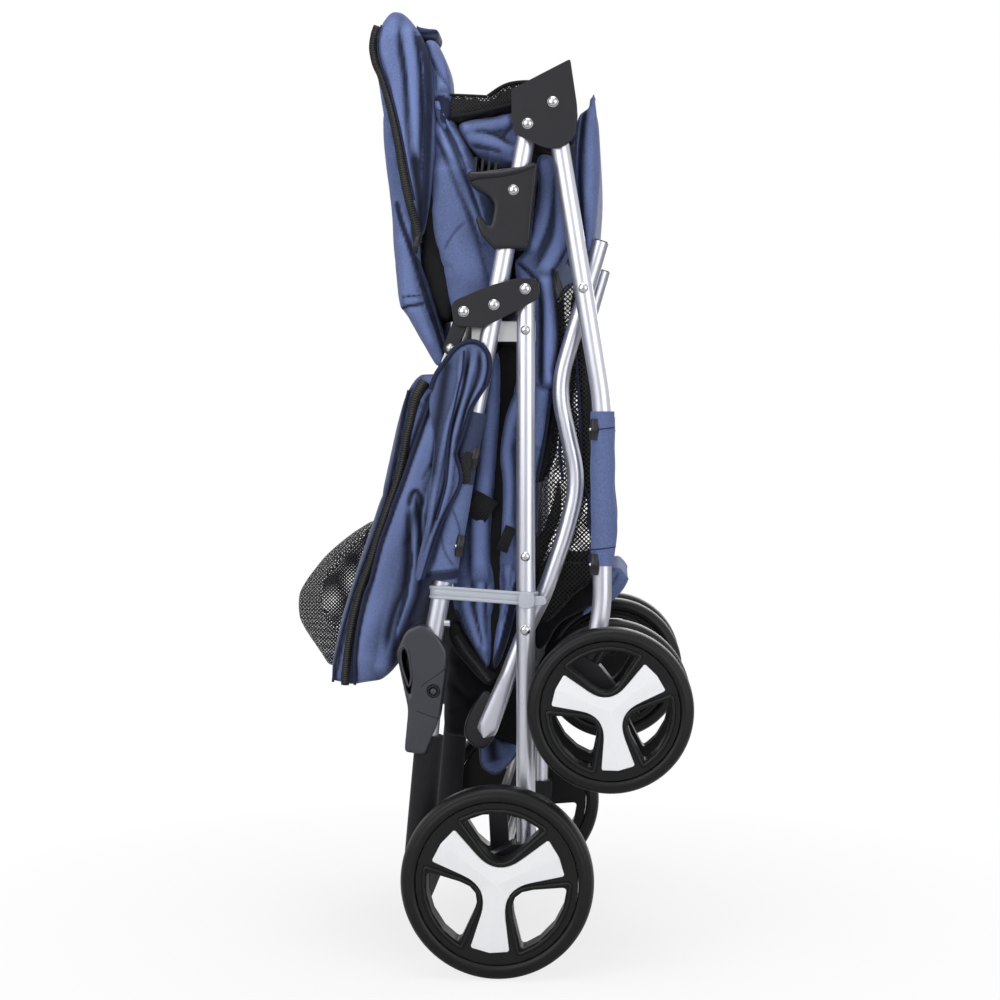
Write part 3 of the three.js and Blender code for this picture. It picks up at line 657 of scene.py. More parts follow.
def finishes():
    """Every finish of the stroller, made once."""
    if not FINISHES:
        s = settings()
        cloth, trim = tuple(s.cloth_colour), tuple(s.trim_colour)
        FINISHES.update(
            cloth=cloth_finish("navy_polyester", cloth, trim),
            # painted shade: the canopy's cloth is a darker copy of the cloth colour, with more
            # contrast, as if less lit
            canopy_cloth=cloth_finish("shaded_canopy_polyester", shade(cloth, 0.74), trim, 1.4),
            # painted shade: a darker copy of the cloth colour for cloth that lies in shade
            dark_cloth=cloth_finish("shaded_polyester", shade(cloth, 0.32), trim),
            trim=cloth_finish("navy_piping", trim, trim, 0.5),
            # black lining cloth, also used for black sheets that stand in for shade in gaps, behind
            # the net and behind folds
            black_cloth=cloth_finish("black_lining_and_shade_sheet", (0.005, 0.005, 0.007), trim, 0.2),
            net=net_finish("black_net", (0.010, 0.010, 0.011), 0.44),
            close_net=net_finish("black_close_net", (0.016, 0.016, 0.018), 0.62, 0.8),
            dense_net=net_finish("black_dense_net", (0.012, 0.012, 0.013), 0.70, 0.8),
            tube=paint_finish("silver_paint", tuple(s.tube_colour)),
            steel=paint_finish("zinc_steel", (0.50, 0.50, 0.51), 1.0, 0.3, 0.03, 0.0),
            chrome=paint_finish("rivet_steel", (0.52, 0.52, 0.54), 1.0, 0.16, 0.02, 0.0),
            plastic=plastic_finish("black_plastic", (0.012, 0.012, 0.016), 0.36, gloss=0.3),
            grey_plastic=plastic_finish("charcoal_plastic", (0.030, 0.030, 0.042), 0.36,
                                        gloss=0.45),
            rim=plastic_finish("rim_plastic", (0.006, 0.006, 0.0065), 0.32, strength=0.06),
            rubber=plastic_finish("tyre_rubber", (0.005, 0.005, 0.0055), 0.40, 700, 0.08),
            cover=plastic_finish("white_plastic", tuple(s.cover_colour), 0.35, strength=0.02,
                                 wear=0.12, gloss=0.5),
            foam=foam_finish("foam_sleeve", (0.008, 0.008, 0.010)),
            webbing=webbing_finish("black_webbing", (0.010, 0.010, 0.011)),
            zip=zip_finish("black_zip", (0.008, 0.008, 0.009)),
            clear=plastic_finish("milky_strap", (0.42, 0.45, 0.51), 0.3, strength=0.02, wear=0.2,
                                 gloss=0.5),
        )
    return FINISHES


# ---------------------------------------------------------------- cloth shapes

AIR_PRESSURE = 4.0
LAP_STEP = 1.3          # half width of the step at a lap's edge
BAND_FADE = 1.2         # over this width the edge of a bound band fades
FOLD_SHADE_ROUNDS = 14        # rounds of averaging that a fold's painted shade and painted highlight are set against
FOLD_SHADE_HEIGHT = 2.5       # a fold this high gets the full painted shade or painted highlight
RIM_WIDTH = 20          # the outermost width of a piece, where bands show


def inset(outline, distance):
    """A closed outline moved inwards along its own normals."""
    ahead = np.roll(outline, -1, 0) - np.roll(outline, 1, 0)
    ahead /= np.maximum(np.linalg.norm(ahead, axis=1, keepdims=True), TINY)
    x, z = outline.T
    area = np.sum(x * np.roll(z, -1) - np.roll(x, -1) * z)
    normal = np.stack([-ahead[:, 1], ahead[:, 0]], -1) * np.sign(area)
    return outline + normal * distance


def slab(outline, half, rounding=8.0, count=90, shrink=0.0, near=None):
    """A closed roll of cloth: a smooth outline in X and Z carried across Y from -half to half,
    drawn in towards both ends by a quarter round."""
    loop = inset(flowing(outline, count, closed=True), shrink)
    start = -half if near is None else near
    t = np.linspace(0, math.pi / 2, 5)
    draw = rounding * (1 - np.sin(t))
    reach = rounding * (1 - np.cos(t))
    y = np.r_[start + reach, half - reach[::-1]]
    draw = np.r_[draw, draw[::-1]]
    rows = np.stack([in_plane(inset(loop, d), v) for d, v in zip(draw, y)])
    return rows.reshape(-1, 3), capped_faces(len(rows), count)


def baked(piece):
    """Replaces a piece's mesh by the one that its modifiers give."""
    depsgraph = bpy.context.evaluated_depsgraph_get()
    mesh = bpy.data.meshes.new_from_object(piece.evaluated_get(depsgraph))
    piece.modifiers.clear()
    piece.data = mesh
    return piece


def softened(node, finish):
    """A frame node's own shape as a thick moulding: remeshed finely and smoothed, so that its
    edges round over."""
    source = frame["nodes"][node]
    piece = bpy.data.objects.new("trim_" + node, source.data.copy())
    bpy.context.scene.collection.objects.link(piece)
    fine = piece.modifiers.new("fine", "REMESH")
    fine.mode = "VOXEL"
    fine.voxel_size = 1.3 * MM
    smooth = piece.modifiers.new("smooth", "SMOOTH")
    smooth.factor = 0.5
    smooth.iterations = 10
    baked(piece)
    piece.data.materials.clear()
    piece.data.materials.append(finish)
    piece.data.shade_smooth()
    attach(piece, body_of(source)[0])
    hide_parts(node)
    return piece


def read(items, key):
    """A vector of every item as rows of three."""
    found = np.empty(len(items) * 3)
    items.foreach_get(key, found)
    return found.reshape(-1, 3)


def vertices(piece):
    """The points of a piece as rows, in metres."""
    return read(piece.data.vertices, "co")


def set_vertices(piece, points):
    """Puts rows of points back into a piece."""
    piece.data.vertices.foreach_set("co", np.ascontiguousarray(points, float).ravel())
    piece.data.update()


def store(piece, name, values):
    """Keeps one value for each point of a piece, under a name."""
    made = piece.data.attributes.get(name) or piece.data.attributes.new(name, "FLOAT", "POINT")
    made.data.foreach_set("value", np.asarray(values, np.float32))


def swollen(piece, cap, fineness):
    """Cloth simulation: air pressure swells the piece for a few frames, and no point moves
    further than the cap. Then one subdivision."""
    grain = piece.modifiers.new("grain", "REMESH")
    grain.mode = "VOXEL"
    grain.voxel_size = settings().cloth_grain * fineness
    baked(piece)
    still = vertices(piece)
    steps = settings().swell_steps
    if steps:
        cloth = piece.modifiers.new("swell", "CLOTH")
        cloth.settings.use_pressure = True
        cloth.settings.uniform_pressure_force = AIR_PRESSURE
        cloth.settings.effector_weights.gravity = 0
        cloth.settings.quality = 3
        cloth.point_cache.frame_start = 1
        cloth.point_cache.frame_end = steps
        scene = bpy.context.scene
        for step in range(1, steps + 1):
            scene.frame_set(step)
        baked(piece)
        scene.frame_set(1)
        move = vertices(piece) - still
        length = np.linalg.norm(move, axis=1, keepdims=True)
        still = still + move * np.minimum(1, cap * MM / np.maximum(length, TINY))
        set_vertices(piece, still)
    smooth = piece.modifiers.new("smooth", "SUBSURF")
    smooth.levels = smooth.render_levels = 1
    return baked(piece)


def nearness(points, line):
    """Distance from each point to a polyline, how far along it the nearest place lies, from 0
    to 1, and whether the point is on its +X side: each segment's nearest place is its clipped
    projection."""
    a, b = line[:-1], line[1:]
    step = b - a
    lengths = np.linalg.norm(step, axis=1)
    share = np.clip(np.einsum("psk,sk->ps", points[:, None] - a, step) / lengths ** 2, 0, 1)
    offset = points[:, None] - (a + share[..., None] * step)
    gap = np.linalg.norm(offset, axis=2)
    best = gap.argmin(1)
    row = np.arange(len(points))
    start = np.r_[0, np.cumsum(lengths)[:-1]]
    along = (start[best] + share[row, best] * lengths[best]) / lengths.sum()
    return gap[row, best], along, np.sign(offset[row, best, 0])


def averaged(piece, values, rounds):
    """Values averaged with their neighbours along the mesh's edges, a few times over."""
    edges = np.empty(len(piece.data.edges) * 2, int)
    piece.data.edges.foreach_get("vertices", edges)
    one, two = edges.reshape(-1, 2).T
    ends, others = np.r_[one, two], np.r_[two, one]
    count = np.maximum(np.bincount(ends, minlength=len(values)), 1)
    for _ in range(rounds):
        values = np.bincount(ends, weights=values[others], minlength=len(values)) / count
    return values


def relief(piece, rolls=(), creases=(), laps=(), bands=(), waves=(), bulge=None):
    """Folds worked into a cloth's two side faces, with painted shade and painted highlight stored
    on
    the piece. A roll is (line, width, height): a half-round fold, height sqrt(1 - (d / width)^2),
    and where rolls meet the higher one wins, which leaves a sharp valley. A crease is (line,
    width, depth, dark): the surface sinks by depth exp(-(d / width)^2), and dark is the share of
    painted shadow along it, stored as depth. A lap is (line, height, reach): one layer over
    another, a step on the line's +X side, or its -X side for a negative reach, that dies away over
    the reach. A band is (line, width): a bound edge in the trim colour. A wave is (degrees,
    length, height): soft wrinkles over the whole piece. The bulge is a function of X and Z that is
    added. The lift before the bulge, against its local average, is stored as fold: painted shade
    in valleys and painted highlight on crests."""
    points = vertices(piece) / MM
    facing = read(piece.data.vertex_normals, "vector")
    flat = points[:, [0, 2]]
    lift, dark, band = np.zeros((3, len(points)))

    def near(line):
        gap, along, side = nearness(flat, flowing(line, 26))
        return gap, np.clip(np.minimum(along, 1 - along) * 9 + 0.2, 0, 1), side

    for line, width, height in rolls:
        gap, fade, _ = near(line)
        lift = np.maximum(lift, height * fade * np.sqrt(np.clip(1 - (gap / width) ** 2, 0, 1)))
    for degrees, length, height in waves:
        a = math.radians(degrees)
        drift = 0.35 * np.sin(flat @ [0.021, 0.017]) + 0.25 * np.sin(points[:, 1] * 0.031)
        phase = (flat @ [math.cos(a), math.sin(a)]) / length + drift
        lift += height * np.sin(TAU * phase) * (0.6 + 0.4 * np.sin(flat @ [-0.013, 0.023]))
    for line, height, reach in laps:
        gap, fade, side = near(line)
        gap = gap * side * np.sign(reach)
        step = height * fade * 0.5 * (1 + np.tanh(gap / LAP_STEP))
        lift += step * np.exp(-np.maximum(gap, 0) / abs(reach))
    for line, width, depth, shadow in creases:
        gap, fade, _ = near(line)
        notch = np.exp(-(gap / width) ** 2) * fade
        lift -= depth * notch
        # painted shadow along the crease, stored as depth
        dark = np.maximum(dark, shadow * notch)
    for line, width in bands:
        gap, _, _ = near(line)
        band = np.maximum(band, np.clip((width - gap) / BAND_FADE + 0.5, 0, 1))
    share = np.clip(np.abs(facing[:, 1]) * 1.4 - 0.2, 0, 1)
    # painted shade in valleys and painted highlight on crests: the lift against its local average,
    # stored as fold
    tone = np.clip((lift - averaged(piece, lift, FOLD_SHADE_ROUNDS)) / FOLD_SHADE_HEIGHT, -1, 1)
    if bulge:
        lift += bulge(*flat.T)
    moved = points.copy()
    moved[:, 1] += np.sign(points[:, 1]) * share * lift
    set_vertices(piece, moved * MM)
    inward = np.abs(points[:, 1]).max() - np.abs(points[:, 1])
    rim = np.clip((RIM_WIDTH - inward) / 6, 0, 1)
    for name, values, where in (("fold", tone, share), ("depth", dark, share), ("band", band, rim)):
        store(piece, name, values * where)
    return piece


def roll(name, outline, half, finish, body, cap=4.0, rounding=5.0, shrink=2.0, fill=0.3,
         near=None, sign=1, fineness=1.0, stands_for=(), **marks):
    """One soft piece: a rolled slab of cloth, swollen, then creased with painted shade and
    highlight in its folds, then put on its body.
    """
    points, faces = slab(outline, half, rounding, shrink=shrink, near=near)
    piece = make(name, points * [1, sign, 1], faces, finish, None)
    swollen(piece, cap, fineness)
    relief(piece, **marks)
    piece.data.materials.clear()
    piece.data.materials.append(finish)
    piece.data.shade_smooth()
    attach(piece, body)
    if stands_for:
        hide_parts(*stands_for)
    return piece


def laid_on(piece, line, sign, count=60, lift=0.0):
    """A line in X and Z laid on a piece's right or left face. A point beyond the face is first
    drawn to the face's edge, and each point takes the greatest reach along Y of the piece's
    points within a few millimetres of it."""
    line = flowing(line, count)
    points = vertices(piece) / MM
    points = points[points[:, 1] * sign > 30]
    gap = np.linalg.norm(points[None, :, [0, 2]] - line[:, None], axis=2)
    nearest = gap.argmin(1)
    reach = gap[np.arange(count), nearest]
    pull = np.clip(reach - 1.5, 0, None) / np.maximum(reach, 1e-6)
    line = line + (points[nearest][:, [0, 2]] - line) * pull[:, None]
    gap = np.linalg.norm(points[None, :, [0, 2]] - line[:, None], axis=2)
    y = np.where(gap < 4.5, points[None, :, 1] * sign, -np.inf).max(1)
    soft = np.convolve(np.pad(y, 2, "edge"), np.ones(5) / 5, "valid")
    return in_plane(line, 0) + np.stack([0 * soft, sign * (soft + lift), 0 * soft], -1)


def piped(name, piece, line, body, radius):
    """A corded seam along a line on both faces of a piece."""
    for side, sign in SIDES.items():
        path = laid_on(piece, line, sign)
        swept(f"{name}_{side}", path, ring(radius, 8), finishes()["trim"], body)


def zipped(name, piece, line, body, width, scale=None):
    """A zip along a line on both faces of a piece: flat tape with a raised coil in its middle,
    whose teeth follow the stored length."""
    half = width / 2
    profile = [[-half, -1.2], [-half, 0.3], [-1.7, 0.5], [-1.3, 1.1], [1.3, 1.1], [1.7, 0.5],
               [half, 0.3], [half, -1.2]]
    for side, sign in SIDES.items():
        path = laid_on(piece, line, sign, count=120, lift=0.4)
        section = np.array(profile) * [1, sign]
        made = swept(f"{name}_{side}", path, section, finishes()["zip"], body, scale=scale)
        _, along, _ = nearness(vertices(made)[:, [0, 2]] / MM, path[:, [0, 2]])
        store(made, "along", along * run_length(path)[-1] * MM)


def stitched(name, piece, line, body):
    """A row of stitches along a line on both faces: short thread pieces with gaps between, each
    a thin six-sided rod."""
    for side, sign in SIDES.items():
        ends = 2 * max(4, int(run_length(line)[-1] / STITCH_PITCH))
        path = laid_on(piece, line, sign, count=ends, lift=0.25)
        rods = [carried(path[k:k + 2], ring(0.42, 6)) for k in range(0, len(path) - 1, 2)]
        points = np.stack(rods).reshape(-1, 3)
        one = capped_faces(2, 6)
        faces = [[v + 12 * k for v in face] for k in range(len(rods)) for face in one]
        make(f"{name}_{side}", points, faces, finishes()["trim"], body)


# ---------------------------------------------------------------- operators


class STROLLER_OT_stage(bpy.types.Operator):
    """Camera, lamps, world and a plain pale floor"""

    bl_idname = "stroller.stage"
    bl_label = "Stage"

    EYE = (0.1203, -1.905, 0.4926)
    AIM = (0.0116, -0.205, 0.4442)
    LENS = 66.46
    MIDDLE = (0, 0, 0.45)
    LAMPS = (
        ("key", (-1.3, -1.9, 1.4), 2.0, 28),
        ("fill", (1.6, -1.8, 0.8), 1.8, 19),
        ("top", (0.0, -0.4, 2.4), 1.2, 16),
        ("back", (0.5, 2.0, 1.3), 1.5, 18),
    )
    SKY_STRENGTH = 0.24

    @staticmethod
    def placed(name, data, location, target):
        """A camera or a lamp that looks from one point at another."""
        holder = bpy.data.objects.new(name, data)
        bpy.context.scene.collection.objects.link(holder)
        holder.location = location
        view = Vector(target) - holder.location
        holder.rotation_euler = view.to_track_quat("-Z", "Y").to_euler()
        return holder

    def execute(self, context):
        scene = context.scene
        scene.view_settings.view_transform = "Standard"
        camera = bpy.data.cameras.new("camera")
        camera.lens, camera.sensor_width = self.LENS, 36.0
        scene.camera = self.placed("camera", camera, self.EYE, self.AIM)
        for name, place, size, power in self.LAMPS:
            lamp = bpy.data.lights.new(name, "AREA")
            lamp.shape, lamp.size, lamp.energy = "SQUARE", size, power
            self.placed(name, lamp, place, self.MIDDLE)
        self.sky(scene)
        self.ground()
        return {"FINISHED"}

    @staticmethod
    def blended(tree, share, first, second, output):
        """The output takes a mix of two shaders."""
        mix = tree.nodes.new("ShaderNodeMixShader")
        for key, socket in enumerate((share, first, second)):
            tree.links.new(socket, mix.inputs[key])
        tree.links.new(mix.outputs[0], tree.nodes[output].inputs[0])

    def sky(self, scene):
        """White where the camera, a reflection or a clear piece looks, dimmer as a lamp."""
        world = bpy.data.worlds.new("white_room")
        scene.world = world
        world.use_nodes = True
        nodes, links = world.node_tree.nodes, world.node_tree.links
        lit, white = nodes["Background"], nodes.new("ShaderNodeBackground")
        for background, strength in ((lit, self.SKY_STRENGTH), (white, 1.0)):
            background.inputs["Color"].default_value = (1, 1, 1, 1)
            background.inputs["Strength"].default_value = strength
        path = nodes.new("ShaderNodeLightPath")
        seen = path.outputs["Is Camera Ray"]
        for ray in ("Is Glossy Ray", "Is Transmission Ray"):
            either = nodes.new("ShaderNodeMath")
            either.operation = "MAXIMUM"
            links.new(seen, either.inputs[0])
            links.new(path.outputs[ray], either.inputs[1])
            seen = either.outputs[0]
        self.blended(world.node_tree, seen, lit.outputs[0], white.outputs[0], "World Output")

    def ground(self):
        """A wide pale floor that keeps a soft shadow near the object and turns into the white
        behind it further out: the camera sees the white in a share that grows with the
        distance from the middle."""
        reach = 30000.0
        corners = [[-reach, -reach, 0], [reach, -reach, 0], [reach, reach, 0], [-reach, reach, 0]]
        floor_paint = Finish("pale_floor", base_color=(0.9, 0.9, 0.9, 1), roughness=0.9,
                             specular_ior_level=0.1)
        tree = floor_paint.tree
        path = tree.nodes.new("ShaderNodeLightPath")
        away = floor_paint.node("ShaderNodeVectorMath", {"operation": "LENGTH"}, floor_paint.place,
                                out=1)
        white_share = ((away - 0.35) * 0.4 + 0.86).clamped()
        glow = tree.nodes.new("ShaderNodeEmission")
        share = white_share * Signal(floor_paint, path.outputs["Is Camera Ray"])
        self.blended(tree, share.socket, floor_paint.shader.outputs[0], glow.outputs[0],
                     "Material Output")
        make("floor", corners, [[0, 1, 2, 3]], floor_paint.material, None, smooth=False,
                      outward=False)


class STROLLER_OT_tubes(bpy.types.Operator):
    """Painted tubes of the legs, handle and floor frame"""

    bl_idname = "stroller.tubes"
    bl_label = "Tubes"

    def execute(self, context):
        legs = {
            "handle_tube": [handle_at(CORNER[1] - 34), handle_at(HINGE[1] + 8)],
            "rear_leg": [[LINK[0], REAR_HUB[1] + 10], [LINK[0], LINK[1] + 10]],
        }
        for name, ends in legs.items():
            for side, sign in SIDES.items():
                body = body_of(frame["nodes"][f"{name}_{side}"])[0]
                piece = pipe(f"{name}_skin_{side}", in_plane(ends, sign * SIDE_Y), TUBE_R, body)
                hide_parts(f"{name}_{side}")
        self.front_legs()
        self.floor_tubes()
        self.cross_tube()
        self.lower_handle()
        return {"FINISHED"}

    @staticmethod
    def front_legs():
        """Straight from the hinge plate, upright beside the floor tube, bent back at the foot."""
        slope = (LEG_PIVOT[0] - LEG_RIVET[0]) / (LEG_PIVOT[1] - LEG_RIVET[1])
        bend = LEG_PIVOT[1] - 110
        top = np.array([LEG_RIVET[0] + 18 * slope, LEG_RIVET[1] + 18])
        upper = np.array([LEG_RIVET[0] + (bend - LEG_RIVET[1]) * slope, bend])
        lower = np.array([upper[0], LEG_PIVOT[1] - 300])
        end = STEM + [0.97, 1.75]
        for side, sign in SIDES.items():
            path = bent(in_plane([top, upper, lower, end], sign * SIDE_Y), 24)
            piece = pipe(f"front_leg_skin_{side}", path, TUBE_R, "front_frame")
            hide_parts(f"front_leg_{side}")

    @staticmethod
    def floor_tubes():
        """Bent tubes, pressed flat and rounded off at the foot, with a plug in the top end and a
        plastic boot round the foot."""
        line = np.vstack([floor([-41, -106], [0, 0], [16, 30], [38, 92], [49, 140]),
                          LEG_PIVOT + [-25, -92], LEG_PIVOT + [16, 46]])
        flat_length, round_length = 62, 9
        boot = floor([-40, -62], [-50, -73], [-56, -84], [-60, -96], [-59, -107], [-48, -117],
                     [-37, -115], [-28, -98], [-26, -80])
        for side, sign in SIDES.items():
            path = bent(in_plane(line, sign * FLOOR_Y), 26)
            low = np.linspace(0, 1, 18)[:, None] * (path[1] - path[0]) + path[0]
            path = np.vstack([low[:-1], path[1:]])
            steps = np.linalg.norm(path - path[0], axis=1)
            pressed = np.clip(1 - steps / flat_length, 0, 1) ** 0.6
            scale = np.stack([1 + 0.28 * pressed, 1 - 0.55 * pressed], -1)
            left = np.clip(1 - steps / round_length, 0, 1)
            scale[:, 0] *= np.sqrt(np.clip(1 - left ** 2, 0.02, 1))
            piece = pipe(f"floor_tube_skin_{side}", path, FLOOR_R, "floor_frame", scale=scale)
            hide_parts(f"floor_tube_{side}")
            tip = path[-1] - path[-2]
            tip /= np.linalg.norm(tip)
            plug = np.array([path[-1] - 4 * tip, path[-1] + 1.2 * tip])
            swept(f"floor_tube_plug_{side}", plug, ring(FLOOR_R - 1.4), finishes()["grey_plastic"],
                  "floor_frame", soft_angle=40)
            moulded(f"floor_tube_boot_{side}", boot, FLOOR_Y - 12, FLOOR_Y - 1, sign,
                    finishes()["plastic"], "floor_frame", 3.0)

    @staticmethod
    def cross_tube():
        """A straight tube between the two front legs."""
        low, high = node_box("front_cross_tube")
        middle = (low + high) / 2
        cross = np.array([[middle[0], y, middle[2]] for y in (low[1], high[1])])
        piece = swept("front_cross_skin", cross, ring(6.5, 20), finishes()["tube"], "front_frame",
                      across=(0, 0, 1), soft_angle=40)
        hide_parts("front_cross_tube")

    @staticmethod
    def lower_handle():
        """The loop between the corner housings, and the foam round it."""
        grip_end = CORNER + [-3.8, -80]
        grip_corner = CORNER + [-20.9, -266]
        lean = (grip_corner - grip_end) / (grip_corner[1] - grip_end[1])
        plane = np.cross([0, 1, 0], [lean[0], 0, lean[1]])

        def loop(top):
            stops = ((top, -1), (grip_corner, -1), (grip_corner, 1), (top, 1))
            return bent([[x, sign * SIDE_Y, z] for (x, z), sign in stops], 60, 14)

        piece = pipe("lower_handle_skin", loop(grip_end), TUBE_R, "handle", across=plane)
        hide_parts("handle_lower_tube")
        foam = swept("foam_grip_skin", loop(grip_end + lean * -24.5), ring(13.3),
                     finishes()["foam"], "handle", across=plane, soft_angle=40)
        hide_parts("handle_foam_grip")


class STROLLER_OT_fittings(bpy.types.Operator):
    """Moulded and pressed fittings, with rounded edges"""

    bl_idname = "stroller.fittings"
    bl_label = "Fittings"

    def execute(self, context):
        f = finishes()
        roundings = {"link_plate": 1.4, "hinge_plate": 1.6, "rear_foot": 2.0, "caster_socket": 1.2,
                     "caster_fork": 2.0, "canopy_link": 1.0}
        for side in SIDES:
            softened(f"latch_slider_{side}", f["plastic"])
            softened(f"handle_corner_{side}", f["grey_plastic"])
            for node, width in roundings.items():
                dressed(f"{node}_{side}", f["plastic"], width)
            dressed(f"canopy_arm_{side}", f["steel"], 0.8)
            dressed(f"front_axle_{side}", f["steel"], 0.6)
        dressed("brake_bar", f["plastic"], 1.0)
        dressed("rear_axle", f["steel"], 0.8)
        dressed("rear_crossbow", f["steel"], 0.8)
        dressed("floor_pivot_shaft", f["chrome"], 0.8)
        self.slider_trim(f)
        self.corner_trim(f)
        return {"FINISHED"}

    @staticmethod
    def slider_trim(f):
        """The latch slider's comb of thin plates, the rolled lip along its top that ends in a
        ball, and the raised line down its front edge."""
        plate = np.array([[-1.1, -9], [-1.1, 9], [-0.6, 9.6], [0.6, 9.6], [1.1, 9], [1.1, -9]])
        lip = flowing(SLIDER + np.array([[-45, 11.5], [-36, 12.6], [-20, 13.4], [-6, 15.2],
                                         [8, 18.4], [18, 22.2]]), 40)
        t = np.linspace(0, 1, 40)
        swell = 1 + 0.32 * np.exp(-((t - 0.05) / 0.07) ** 2)
        swell *= np.sqrt(np.clip(1 - np.clip(1 - t / 0.05, 0, 1) ** 2, 0.03, 1)) * (1 - 0.35 * t)
        flange = flowing(SLIDER + np.array([[17, 16], [14.5, -14], [11.6, -50]]), 24)
        for side, sign in SIDES.items():
            body = f"latch_{side}"
            for k in range(4):
                foot = SLIDER + [-38.5 + 6.3 * k, 13 + 0.6 * k]
                path = in_plane([foot, foot + [1.4, 17.5 - 2.3 * k]], sign * SIDE_Y)
                swept(f"slider_rib_{k}_{side}", path, plate, f["plastic"], body, soft_angle=30)
            swept(f"slider_lip_{side}", in_plane(lip, sign * (SLIDER_FACE - 1.2)), ring(3.9, 16),
                  f["plastic"], body, scale=swell)
            swept(f"slider_flange_{side}", in_plane(flange, sign * (SLIDER_FACE - 0.2)),
                  ring(0.9, 8), f["plastic"], body)

    @staticmethod
    def corner_trim(f):
        """The corner housing's recessed bolt in its ring, its two parting lines, the bolt that
        enters the handle tube above it, and the edge of the blind loop."""
        bolt = CORNER + [-0.6, -61.6]
        seams = ([[-12.3, -57], [-5.2, -51.3], [3.4, -45.6], [11.3, -39.2]],
                 [[-16.6, -79.9], [-5.2, -84.2], [4.1, -87.1]])
        rim = CORNER + np.array([[-28.8, -18.4], [-24.5, -25.6], [-22.3, -38.5], [-21.6, -48.5],
                                 [-23.8, -57], [-27.3, -48.5], [-30.6, -37], [-31.6, -25.6]])
        for side, sign in SIDES.items():
            dome(f"corner_bolt_{side}", bolt, sign * (SIDE_Y + 16.0), sign, 3.4, 0.9,
                 f["grey_plastic"], "handle")
            around = in_plane(bolt + ring(4.9, 28), sign * (SIDE_Y + 16.2))
            swept(f"corner_bolt_ring_{side}", around, ring(1.3, 8), f["rim"], "handle", closed=True)
            swept(f"corner_loop_edge_{side}",
                  in_plane(flowing(rim, 48, closed=True), sign * (SIDE_Y + 15.6)),
                  ring(1.2, 8), f["grey_plastic"], "handle", closed=True)
            for k, seam in enumerate(seams):
                path = in_plane(flowing(CORNER + np.array(seam, float), 12), sign * (SIDE_Y + 16.0))
                swept(f"corner_seam_{k}_{side}", path, ring(0.5, 8), f["rim"], "handle")
            head = np.array([CORNER[0] + 8, sign * SIDE_Y, CORNER[1] + 1.3])
            pin = head + [[0, 0, 0], [5.5, 0, 0], [6.5, 0, 0]]
            swept(f"handle_bolt_{side}", pin, ring(4.4, 20), f["chrome"], "handle",
                  across=(0, 0, 1), scale=[1, 1, 0.6], soft_angle=40)


class STROLLER_OT_rivets(bpy.types.Operator):
    """Domed rivets and bolt heads at every pivot"""

    bl_idname = "stroller.rivets"
    bl_label = "Rivets"

    def execute(self, context):
        chrome = finishes()["chrome"]
        heads = (
            ("link_rear", LINK, LINK_FACE, "handle", 5.0),
            ("link_handle", HANDLE_RIVET, LINK_FACE, "handle", 5.0),
            ("link_bow", BOW_RIVET, LINK_FACE, "handle", 5.0),
            ("hinge_handle", HINGE, PLATE_FACE, "front_frame", 5.0),
            ("hinge_leg", LEG_RIVET, PLATE_FACE, "front_frame", 5.0),
            ("leg_floor", LEG_PIVOT, TUBE_FACE, "front_frame", 4.8),
            ("leg_bow", np.array([LINK[0], LINK[1] - 38]), TUBE_FACE, "rear_frame", 4.6),
            ("leg_mid", np.array([LINK[0], FLOOR[1] + 69]), TUBE_FACE, "rear_frame", 4.6),
            ("floor_pivot", FLOOR, TUBE_FACE + 3, "rear_frame", 4.8),
            ("canopy_pivot", CANOPY, TUBE_FACE, "handle", 4.0),
        )
        for side, sign in SIDES.items():
            for name, centre, face, body, radius in heads:
                dome(f"rivet_{name}_{side}", centre, sign * face, sign, radius, RIVET_HEIGHT,
                     chrome, body)
            dome(f"rivet_slider_{side}", SLIDER + [-2, -1], sign * SLIDER_FACE, sign, 4.8,
                 RIVET_HEIGHT, chrome, f"latch_{side}")
        return {"FINISHED"}


